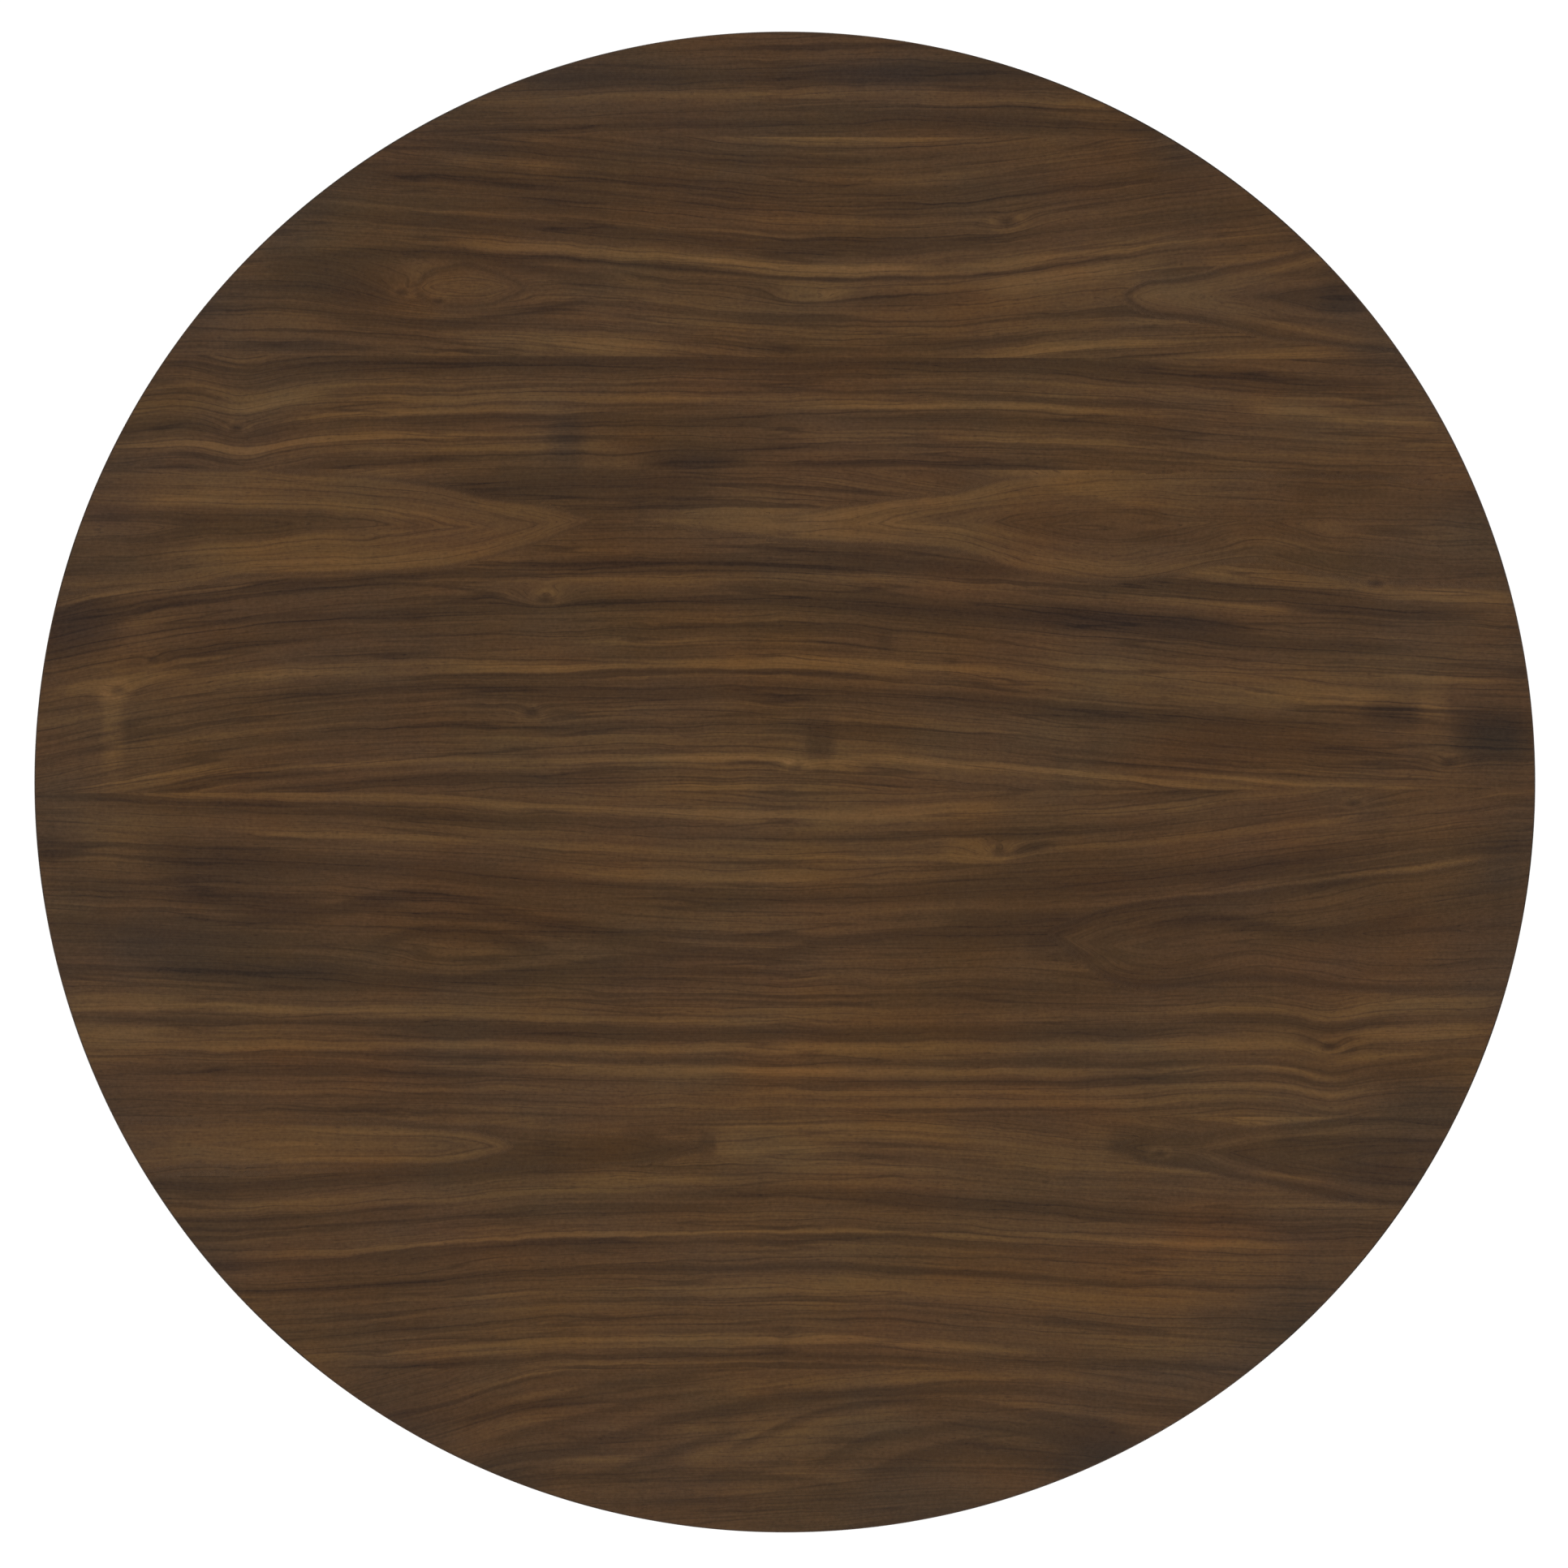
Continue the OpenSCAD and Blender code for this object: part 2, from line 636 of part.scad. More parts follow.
core_board();
backing_veneer();
edge_band();
veneer_leaf(1);  // veneer_leaf_1
veneer_leaf(2);  // veneer_leaf_2
veneer_leaf(3);  // veneer_leaf_3
veneer_leaf(4);  // veneer_leaf_4
veneer_leaf(5);  // veneer_leaf_5
veneer_leaf(6);  // veneer_leaf_6
veneer_leaf(7);  // veneer_leaf_7
veneer_leaf(8);  // veneer_leaf_8
bearer(-1);  // bearer_left
bearer(1);  // bearer_right
bearer_screws();
pivot_bush(-1);  // pivot_bush_left
pivot_bush(1);  // pivot_bush_right
latch_plate();
latch_case();
latch_friction_spring();
latch_screws();
latch_bolt();
latch_knob();
pivot_block();
pivot_pin(-1);  // pivot_pin_left
pivot_pin(1);  // pivot_pin_right
pivot_washers();
strike_plate();
strike_screws();
bumpers();
column();
tenon_wedge();
leg(1);  // leg_1
leg(2);  // leg_2
leg(3);  // leg_3
leg(4);  // leg_4
spider_plate();
spider_screws();
leveller_inserts();
leveller_stem(1);  // leveller_stem_1
leveller_stem(2);  // leveller_stem_2
leveller_stem(3);  // leveller_stem_3
leveller_stem(4);  // leveller_stem_4
leveller_pad(1);  // leveller_pad_1
leveller_pad(2);  // leveller_pad_2
leveller_pad(3);  // leveller_pad_3
leveller_pad(4);  // leveller_pad_4
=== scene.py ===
# %% [markdown]
# # A round walnut table with a tilting top
# The table stands on a turned column with four sawn legs, and its round top is laid with eight leaves of
# walnut veneer. The CAD model already holds every part at its true size, so this lesson only gives the parts
# their looks: the figure of the veneer, the grain of the solid wood, and the wear of the metal. All lengths
# here are in metres, except where a name ends in _mm or _MM, or a text says so.
# %% Load the CAD parts
import math

import bmesh
import bpy
import numpy as np
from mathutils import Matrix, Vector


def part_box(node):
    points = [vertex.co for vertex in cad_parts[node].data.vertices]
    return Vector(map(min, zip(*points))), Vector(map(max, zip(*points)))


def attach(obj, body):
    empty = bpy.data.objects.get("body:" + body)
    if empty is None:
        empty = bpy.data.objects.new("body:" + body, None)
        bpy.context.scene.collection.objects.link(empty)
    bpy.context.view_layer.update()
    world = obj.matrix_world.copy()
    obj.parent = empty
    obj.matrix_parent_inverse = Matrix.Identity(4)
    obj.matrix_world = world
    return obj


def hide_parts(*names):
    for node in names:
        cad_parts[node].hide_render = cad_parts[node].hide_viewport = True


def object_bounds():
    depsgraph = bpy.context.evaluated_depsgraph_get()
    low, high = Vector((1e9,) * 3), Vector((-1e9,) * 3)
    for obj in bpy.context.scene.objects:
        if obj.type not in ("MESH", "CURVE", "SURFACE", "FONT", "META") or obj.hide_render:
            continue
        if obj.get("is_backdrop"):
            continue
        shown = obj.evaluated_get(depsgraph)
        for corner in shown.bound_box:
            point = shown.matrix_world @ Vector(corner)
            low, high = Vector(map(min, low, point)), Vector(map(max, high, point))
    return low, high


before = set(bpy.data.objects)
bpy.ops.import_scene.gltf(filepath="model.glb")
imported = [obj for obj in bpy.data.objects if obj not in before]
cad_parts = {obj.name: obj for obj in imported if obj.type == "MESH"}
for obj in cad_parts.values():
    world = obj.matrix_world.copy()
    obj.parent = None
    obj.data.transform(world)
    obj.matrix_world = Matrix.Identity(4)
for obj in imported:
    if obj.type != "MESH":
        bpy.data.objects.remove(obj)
cad_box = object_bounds()
TOP_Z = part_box("veneer_leaf_4")[1].z
BOARD_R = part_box("core_board")[1].x
print("parts:", len(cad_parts), " top at", round(TOP_Z, 4), " board radius", round(BOARD_R, 4))

# %% [markdown]
# ## Camera
# A table top like this is best shown from straight above, so that the veneer can be read like a map. A
# parallel view would do that too, but a real lens lets the same camera walk round the table afterwards. Its
# height follows from the lens: half the width in view, over half the sensor, times the focal length.
# %% Set the camera above the table
def into_scene(name, data):
    """Makes an object from a mesh, a lamp or a camera, and puts it in the scene."""
    thing = bpy.data.objects.new(name, data)
    bpy.context.scene.collection.objects.link(thing)
    return thing


LENS, SENSOR = 85.0, 36.0
half_width = 0.5572
height = half_width * LENS / (SENSOR / 2)
camera = into_scene("camera", bpy.data.cameras.new("camera"))
camera.data.lens, camera.data.sensor_width = LENS, SENSOR
camera.data.clip_start, camera.data.clip_end = 0.05, 60
camera.location = (-0.0006, -0.0014, TOP_Z + height)
bpy.context.scene.camera = camera
print("camera is", round(height, 3), "m above the top")

# %% [markdown]
# ## Nodes and colours
# Every material below is a small network of nodes. One helper adds a node: its plain settings go on the node,
# and each input gets either a value or a link from another node. Colours are written the way a paint chart
# gives them, as sRGB hex, and are turned to linear light once, here. A last helper wires up what every
# material ends with: its colour, its gloss and its relief.
# %% One helper for nodes, one for colours
def linear(hex_code):
    """sRGB to linear light: c/12.92 up to 0.04045, else ((c+0.055)/1.055) to the power 2.4."""
    c = np.array([int(hex_code[i:i + 2], 16) for i in (1, 3, 5)]) / 255
    low, high = c / 12.92, ((c + 0.055) / 1.055) ** 2.4
    return (*np.where(c <= 0.04045, low, high), 1.0)


def put(tree, kind, inputs=None, stops=None, **settings):
    """Adds a node, sets it up, gives its inputs values or links, and fills a ramp from (place, hex) stops."""
    node = tree.nodes.new(kind)
    for name, value in settings.items():
        setattr(node, name, value)
    for name, value in (inputs or {}).items():
        if isinstance(value, bpy.types.NodeSocket):
            tree.links.new(value, node.inputs[name])
        else:
            node.inputs[name].default_value = value
    if stops:
        ramp = node.color_ramp
        while len(ramp.elements) < len(stops):
            ramp.elements.new(1.0)
        for element, (place, shade) in zip(ramp.elements, stops):
            element.position, element.color = place, linear(shade)
    return node


def new_material(name):
    """A material with its shader and its output, and nothing else yet; returns material, tree and shader."""
    material = bpy.data.materials.new(name)
    material.use_nodes = True
    tree = material.node_tree
    tree.nodes.clear()
    shader = put(tree, "ShaderNodeBsdfPrincipled")
    put(tree, "ShaderNodeOutputMaterial", {"Surface": shader.outputs[0]})
    return material, tree, shader


def wire_up(tree, shader, colour, gloss, from_to, height, strength, bump_mm):
    """Colour to the base, gloss from 0.3 to 0.7 spread over a range of roughness, height to a bump."""
    rough = put(tree, "ShaderNodeMapRange", {0: gloss, 1: 0.3, 2: 0.7, 3: from_to[0], 4: from_to[1]})
    bump = put(tree, "ShaderNodeBump", {"Height": height, "Strength": strength, "Distance": bump_mm / 1000})
    for socket, source in (("Base Color", colour), ("Roughness", rough.outputs[0]),
                           ("Normal", bump.outputs[0])):
        tree.links.new(source, shader.inputs[socket])


print("mid grey in linear light:", round(linear("#808080")[0], 3))

# %% [markdown]
# ## Light
# A dark, satin surface shows every lamp that stands over it, so nothing bright is hung above the top. Four
# big soft boxes stand low around the table instead, alike on each side, and light the wood evenly without a
# shine. The sky is brighter to the eye than it is as a lamp, so that the background stays pale without
# washing out the wood.
# %% Put up the soft boxes
WATTS, BOX_SIDE, FAR, TILT = 57.0, 2.4, 3.4, math.radians(60)
SKY_AS_LAMP, SKY_TO_THE_EYE = 0.20, 0.52


def soft_box(name, side):
    """A square lamp at distance FAR from the top, TILT from the vertical, turned to face the top."""
    lamp = into_scene(name, bpy.data.lights.new(name, "AREA"))
    lamp.data.energy, lamp.data.size = WATTS, BOX_SIDE
    turn = math.radians(side)
    lamp.location = (FAR * math.sin(TILT) * math.cos(turn), FAR * math.sin(TILT) * math.sin(turn),
                     TOP_Z + FAR * math.cos(TILT))
    lamp.rotation_euler = (TILT, 0, turn + math.pi / 2)


for side in (20, 110, 200, 290):
    soft_box(f"soft_box_{side}", side)

world = bpy.data.worlds.new("studio")
bpy.context.scene.world = world
world.use_nodes = True
world.node_tree.nodes.clear()
seen = put(world.node_tree, "ShaderNodeLightPath")
strength = put(world.node_tree, "ShaderNodeMath", {0: seen.outputs["Is Camera Ray"], 1: SKY_TO_THE_EYE,
                                                   2: SKY_AS_LAMP}, operation="MULTIPLY_ADD")
sky = put(world.node_tree, "ShaderNodeBackground",
          {"Color": linear("#ffffff"), "Strength": strength.outputs[0]})
put(world.node_tree, "ShaderNodeOutputWorld", {"Surface": sky.outputs[0]})
bpy.context.scene.view_settings.view_transform = "Standard"
print("four soft boxes of", WATTS, "W, sky", SKY_AS_LAMP)

# %% [markdown]
# ## Floor
# In a studio the table would stand on a roll of matt white paper. Here it is a wide flat disc that glows a
# little, which keeps it near white with only a soft shadow. Seen from below it is clear, so that the
# underside can be seen.
# %% Lay the floor
def sheet_of_floor(radius, rings, turns):
    """A flat disc as a polar grid: point (i, j) is at radius*i/rings and angle 2*pi*j/turns."""
    r, q = np.meshgrid(np.linspace(0.001, radius, rings), np.linspace(0, 2 * np.pi, turns, endpoint=False),
                       indexing="ij")
    points = np.stack([r * np.cos(q), r * np.sin(q), np.zeros_like(r)], -1).reshape(-1, 3)
    i, j = np.meshgrid(np.arange(rings - 1), np.arange(turns), indexing="ij")
    after = (j + 1) % turns
    faces = np.stack([i * turns + j, (i + 1) * turns + j, (i + 1) * turns + after, i * turns + after], -1)
    mesh = bpy.data.meshes.new("floor")
    mesh.from_pydata(points.tolist(), [], faces.reshape(-1, 4).tolist() + [list(range(turns))])
    return mesh


floor = into_scene("floor", sheet_of_floor(14.0, 12, 96))
paper, tree, shader = new_material("Studio paper, matt white")
where = put(tree, "ShaderNodeTexCoord").outputs["Object"]
fibre = put(tree, "ShaderNodeTexNoise", {"Vector": where, "Scale": 9.0, "Detail": 4.0})
tint = put(tree, "ShaderNodeValToRGB", {0: fibre.outputs[0]}, stops=[(0.3, "#b4b4b2"), (0.7, "#bcbcba")])
tree.links.new(tint.outputs[0], shader.inputs["Base Color"])
shader.inputs["Roughness"].default_value = 0.95
shader.inputs["Specular IOR Level"].default_value = 0.1
shader.inputs["Emission Color"].default_value = linear("#ffffff")
shader.inputs["Emission Strength"].default_value = 0.62
clear = put(tree, "ShaderNodeBsdfTransparent")
side_seen = put(tree, "ShaderNodeNewGeometry").outputs["Backfacing"]
mixed = put(tree, "ShaderNodeMixShader", {0: side_seen, 1: shader.outputs[0], 2: clear.outputs[0]})
tree.links.new(mixed.outputs[0], [n for n in tree.nodes if n.type == "OUTPUT_MATERIAL"][0].inputs["Surface"])
floor.data.materials.append(paper)
floor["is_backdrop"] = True
print("floor", [round(v, 1) for v in floor.dimensions])

# %% [markdown]
# ## How a leaf of veneer gets its figure
# A leaf of veneer is a thin slice through many growth rings. Where the knife runs straight along the rings
# they show as nearly parallel lines, and where the rings bulge towards the knife they close into tongues and
# eyes. So the figure is described the same way here. The *ring height* is the sideways position of a point,
# minus a slow sag of the grain, plus a smooth bump for every tongue, eye or knot. Lines of equal ring height
# are then the grain lines. Streaks of light and dark wood lie along those lines.
#
# The lists below were laid out leaf by leaf, mostly in whole millimetres from the centre of the top.
# It is slower than a plain wood texture, but no noise alone gives a board that a person would recognise. The
# seams come first: each one is a height at its left end and one at its right end, as in the CAD part.
# %% The seams between the leaves, and a way to describe a leaf
SEAMS_MM = [(460, 457), (304, 300), (223, 221), (-8, -5), (-148, -152), (-238, -238), (-416, -419)]
LEAVES = []


def describe_leaf(lively, sag, eyes, streaks, knots=(), tongues=(), strokes=()):
    """lively: contrast of the leaf, 1 for the most. sag: (x, rise). eyes: (x, y, half length, half width,
    bump). streaks: (x, y, half length, half width, shade). knots: (x, y, size). tongues: (points of the upper
    edge, points of the lower edge, (depth, shade) inwards). strokes: (points of a single dark growth line,
    width, shade). Shade is -2 for nearly black wood to +2 for the palest."""
    LEAVES.append(dict(lively=lively, sag=sag, eyes=eyes, streaks=streaks, knots=knots, tongues=tongues,
                       strokes=strokes))
    print("leaf", len(LEAVES), "streaks:", len(streaks), "tongues:", len(tongues), "strokes:", len(strokes))


print("seams:", len(SEAMS_MM))

# %% [markdown]
# ### Leaf 1
# The small leaf furthest back has straight grain and little contrast.
# %% Leaf 1, the small one furthest back
describe_leaf(0.78, [(-270, 0), (20, 5), (105, 6), (270, 2)], [], [
    (-50, 488, 190, 3.5, 1.0), (165, 483, 85, 2.5, .8), (85, 504, 110, 8, -1.2), (-75, 500, 105, 5.5, -.6),
    (125, 470, 175, 6.5, -.9), (-120, 466, 140, 2, -.9), (-5, 521, 35, 3, -.6), (125, 480, 145, 1.3, -.8)])

# %% [markdown]
# ### Leaf 2
# The grain sags in the middle, round an eye at the left with two pin knots, and a long tongue at the right.
# %% Leaf 2, with an eye and a tongue
describe_leaf(
    0.90, [(-335, 0), (-135, -14), (20, -26), (135, -24), (210, -14), (355, 2), (425, 6)],
    [(-245, 347, 55, 15, 20), (435, 341, 155, 25, 35), (20, 343, 35, 6, 7.5)], [
    (65, 456, 135, 2.5, 1.3), (240, 455, 65, 2, .5), (-200, 440, 45, 4, .8), (-225, 428, 75, 2.5, -.9),
    (125, 431, 190, 5, .35), (-40, 435, 70, 2, .4), (-155, 400, 190, 2, .5), (-120, 390, 195, 5.5, -.8),
    (90, 383, 85, 6, -1.0), (95, 426, 35, 3, .5), (-160, 379, 70, 4, 1.2), (-5, 366, 125, 4, 1.7),
    (250, 381, 110, 4.5, 1.5), (20, 358, 240, 1.4, -1.3), (205, 360, 65, 6, .8), (280, 350, 35, 5, .8),
    (310, 331, 75, 4, -.5), (95, 344, 50, 5.5, -.6), (-325, 357, 45, 18, -.7), (-235, 357, 35, 6, .5),
    (-155, 312, 75, 5, 1.1), (20, 344, 25, 5, .5), (-95, 337, 80, 10, .35), (-5, 308, 75, 2, -1.2),
    (125, 312, 60, 4, -.8), (210, 310, 70, 5, .9), (330, 303, 70, 4, 1.0), (397, 341, 17, 10, -1.3),
    (365, 328, 40, 13, -.3), (-260, 325, 70, 2.5, -.5), (-355, 310, 40, 4, -.7), (340, 368, 50, 5, .5)],
    [(158, 398, 5), (-272, 348, 3.5), (-246, 342, 3)],
    [([(241, 346), (251, 353), (285, 360), (342, 372), (400, 380), (500, 383)],
      [(241, 344), (253, 336), (290, 329), (350, 316), (400, 309), (500, 303)],
      [(0, -.8), (2.5, -.5), (6, .3), (12, .5), (18, .3), (24, -.1), (30, -.4)]),
     ([(-264, 352), (-256, 361), (-238, 367), (-214, 366), (-196, 360), (-184, 352)],
      [(-264, 350), (-256, 342), (-238, 338), (-214, 338), (-196, 344), (-184, 350)],
      [(0, -.6), (2.5, -.3), (5, .1), (9, .3), (14, .3)])],
    [([(-345, 372), (-300, 377), (-250, 378), (-200, 371), (-160, 362), (-110, 356)], 2.2, -.8),
     ([(-330, 330), (-280, 327), (-230, 328), (-180, 335), (-130, 345)], 2.2, -.6)])

# %% [markdown]
# ### Leaf 3
# A narrow leaf, cut along the rings, with many straight pale lines and one kink at a pin knot.
# %% Leaf 3, narrow and nearly straight
describe_leaf(
    0.95, [(-470, -8), (-420, -6), (-385, -12), (-350, -6), (-210, -1), (20, 0), (190, -1), (295, -8),
           (425, -15),
     (480, -16)], [], [
    (-95, 297, 360, 5.5, -1.5), (-360, 299, 75, 4.5, -.8), (310, 288, 115, 5, -.8),
    (-235, 263, 105, 2.2, 1.5), (-120, 273, 175, 2, 1.2), (65, 272, 85, 2, .8), (135, 267, 145, 1.6, .7),
    (-365, 269, 35, 4, .9), (-415, 253, 70, 4, -1.0), (-235, 258, 115, 2.5, -1.0), (-85, 256, 85, 4.5, -.9),
    (135, 259, 145, 4.5, -.5), (-325, 244, 150, 2.5, 1.1), (-210, 237, 105, 2.5, .9), (-385, 235, 80, 2, .6),
    (-68, 228, 35, 4.5, -1.5), (-155, 241, 15, 14, -.3), (95, 226, 100, 2, -1.2), (-340, 225, 150, 1.6, -1.0),
    (-62, 241, 70, 7.5, -.5), (130, 244, 115, 5, .4), (360, 264, 30, 4, .9), (423, 256, 40, 2.5, .9),
    (250, 279, 115, 3, .3),
    (-40, 282, 290, 1.3, -.5), (-270, 282, 145, 2, .5)],
    [(-390, 251, 3.5)])

# %% [markdown]
# ### Leaf 4
# The widest leaf: two pale tongues point at each other across a dark gap, over long lines that sag at both
# ends.
# %% Leaf 4, the widest
describe_leaf(
    1.00, [(-535, -36), (-470, -24), (-370, -10), (-270, -3), (-155, -1), (20, -1), (110, -7), (225, -17),
           (370, -29),
     (525, -36)],
    [(-500, 210, 250, 27, 37), (310, 199, 250, 23, 30), (260, 198, 45, 10, 10), (-170, 132, 20, 7, 8),
     (365, 187, 40, 7, 7)], [
    (-155, 210, 105, 14, -1.0), (-85, 207, 32, 16, -.6), (-365, 210, 115, 10, .8), (-235, 193, 70, 6, .8),
    (-190, 178, 40, 5, .6), (-305, 181, 40, 6, .8), (-335, 158, 125, 4.5, 1.1), (-420, 203, 40, 6, .4),
    (-485, 187, 23, 14, -.9), (-422, 184, 17, 7.5, -.8), (-472, 158, 46, 5, -.8), (-465, 136, 63, 3, 1.0),
    (-385, 149, 92, 2, -.6), (20, 187, 115, 7.5, 1.4), (210, 212, 87, 5.5, 1.3), (135, 178, 75, 4.5, .9),
    (215, 155, 40, 5, 1.1), (262, 187, 63, 7.5, .3), (273, 174, 35, 7.5, -.6), (187, 175, 35, 4, -.6),
    (370, 170, 40, 5, .8), (388, 159, 46, 3, -.7), (342, 145, 75, 4.5, .8), (394, 210, 40, 3, -1.0),
    (452, 187, 52, 9, -.4), (475, 132, 52, 5, .9), (-62, 154, 110, 5.5, -1.2), (94, 154, 75, 5.5, -1.1),
    (308, 138, 92, 5.5, -.8), (423, 122, 70, 5, -1.2), (-385, 135, 110, 4, -1.0), (-270, 145, 92, 3, -.7),
    (-85, 145, 92, 3, .5), (77, 143, 92, 2.5, .6), (308, 126, 70, 3, .6), (-62, 129, 127, 3, -1.2),
    (111, 122, 104, 5, -1.2), (250, 114, 75, 7, -1.7), (365, 98, 75, 4, -1.3), (-506, 107, 35, 16, -1.4),
    (-414, 112, 92, 3, -.5), (-287, 118, 92, 3, -.5), (-39, 109, 115, 4, -.5), (-414, 94, 52, 4, -.8),
    (-85, 100, 52, 2, .7), (-310, 81, 110, 3, 1.2), (-96, 84, 150, 3, 1.2), (-471, 67, 46, 4.5, 1.0),
    (94, 82, 115, 3, .9), (308, 74, 115, 9, .9), (394, 61, 63, 5, .9), (469, 72, 40, 4, .5),
    (267, 61, 104, 2, .8), (-235, 65, 138, 5.5, -.9), (-39, 65, 173, 6.5, -.8), (250, 48, 138, 5, -.8),
    (-62, 39, 190, 5, -.4), (-281, 61, 115, 1.6, .5), (-154, 32, 173, 5, .25), (-367, 37, 87, 4, .3),
    (186, 34, 92, 5.5, .3), (365, 22, 70, 7.5, -.3), (-177, 16, 190, 2.2, 1.2), (192, 7, 173, 2, 1.2),
    (365, -1, 87, 2, 1.0), (-443, 5, 58, 2.5, .9), (19, 11, 35, 2.5, .9), (-235, 2, 144, 4, -.7),
    (-385, 2, 70, 3, -.8), (163, -7, 162, 3, -.5), (-62, -3, 52, 2.5, .7), (506, 34, 29, 15, -1.5),
    (431, 51, 21, 11, -.8), (25, 28, 10, 14, -1.0), (71, 100, 6, 9, -.5), (-478, 34, 8, 25, .8),
    (-478, 60, 10, 5, 1.2), (460, 54, 12, 14, .5)],
    [(-170, 130, 4.5), (-474, 65, 4.5), (-180, 49, 4), (9, 11, 4), (420, 141, 4), (472, 14, 4.5),
     (-449, 87, 3)],
    [([(-540, 224), (-400, 222), (-264, 213), (-187, 198), (-140, 188)],
      [(-540, 134), (-455, 137), (-405, 143), (-302, 149), (-215, 158), (-140, 185)],
      [(0, -.3), (2, .6), (6, .8), (12, .65), (20, .6), (26, .5), (30, .1), (34, -.4), (40, -.1)]),
     ([(-106, 188), (8, 192), (90, 202), (172, 216), (226, 219), (308, 217), (540, 212)],
      [(-106, 186), (8, 172), (117, 164), (188, 148), (237, 141), (281, 147), (335, 157),
       (390, 146), (540, 138)],
      [(0, -.3), (2, .75), (8, .9), (13, .5), (18, -.15), (24, .2), (30, -.3), (40, .2)])])

# %% [markdown]
# ### Leaf 5
# A calmer, darker leaf. Here single dark growth lines wander over plain wood, so it has strokes of its own.
# %% Leaf 5, dark and calm
describe_leaf(
    0.78, [(-535, 18), (-370, 13), (-250, 9), (-135, 3), (-5, -1), (135, 2), (250, 7), (365, 20), (515, 38)],
    [(-235, -130, 85, 12, 9), (455, -128, 220, 28, 35), (150, -49, 23, 7, 6)], [
    (-270, -12, 208, 2.5, 1.0), (19, -24, 150, 4, 1.4), (100, -20, 52, 4.5, .9), (279, -17, 87, 3, .9),
    (359, -8, 35, 3, .6), (-270, -23, 190, 4, -1.0), (48, -38, 150, 3, -.9), (209, -34, 75, 3, -1.0),
    (-310, -38, 185, 2.5, 1.0), (-68, -51, 115, 2.5, 1.2), (77, -56, 70, 3, 1.1), (209, -47, 75, 2.5, .8),
    (342, -33, 75, 3, .6), (-62, -67, 104, 5, 1.1), (65, -70, 70, 4, .7), (-200, -47, 115, 3, .3),
    (-454, -50, 92, 9, -1.5), (-310, -60, 110, 6, -.9), (-154, -73, 98, 4.5, -.9), (-385, -85, 52, 4.5, -1.3),
    (-327, -89, 63, 2, -1.2), (-200, -97, 63, 2.2, -1.6), (-68, -110, 115, 2, -1.3), (-270, -82, 29, 2, -1.0),
    (-125, -89, 115, 5.5, -.5), (19, -82, 98, 5, -.7), (-10, -99, 87, 5, .3), (-373, -134, 70, 7.5, -1.7),
    (-443, -108, 92, 14, -1.0), (-235, -116, 46, 3, .4), (-235, -139, 70, 2.5, -.9),
    (-235, -128, 52, 7.5, .2), (-85, -135, 70, 2, -1.1), (19, -134, 75, 2.5, -.3), (-494, -73, 35, 11, -.6),
    (169, -73, 87, 6.5, -1.2), (308, -63, 98, 5.5, -1.5), (435, -47, 63, 4, -.8), (262, -83, 70, 2.5, .8),
    (394, -69, 98, 2.5, .9), (498, -44, 35, 6, -.9), (163, -102, 46, 7.5, -1.4), (184, -110, 13, 5.5, -1.4),
    (134, -113, 70, 9, -.7), (233, -102, 29, 5, .3), (215, -124, 35, 2.5, -1.0), (308, -136, 92, 2.5, -1.2),
    (279, -131, 92, 2, .3), (435, -97, 46, 5, -1.1), (365, -113, 115, 13, -.2), (492, -108, 29, 22, -.8),
    (423, -136, 70, 3, -.7),
    (143, -53, 29, 6, 1.3), (171, -48, 20, 3, -1.4), (48, -145, 230, 4, -.6)],
    [(152, -50, 4), (404, -15, 3.5)],
    [([(190, -107), (227, -92), (342, -77), (440, -64), (540, -50)],
      [(190, -109), (212, -130), (342, -141), (400, -147), (540, -149)],
      [(0, -1.0), (2.5, -.6), (7, .1), (14, .15), (21, -.3), (25, .1), (34, 0)])],
    [([(-431, -70), (-391, -86), (-333, -91), (-293, -82), (-258, -78), (-223, -84), (-177, -97),
       (-119, -110),
       (-62, -119), (-4, -120), (36, -112), (111, -105), (169, -103)], 2.2, -1.4),
     ([(-380, -143), (-235, -139), (-177, -133), (-119, -125), (-60, -123)], 2.0, -1.1),
     ([(-300, -118), (-262, -105), (-225, -104), (-190, -112), (-160, -120)], 2.2, -1.0),
     ([(255, -101), (300, -96), (360, -104), (420, -100), (460, -88)], 2.2, -1.2)])

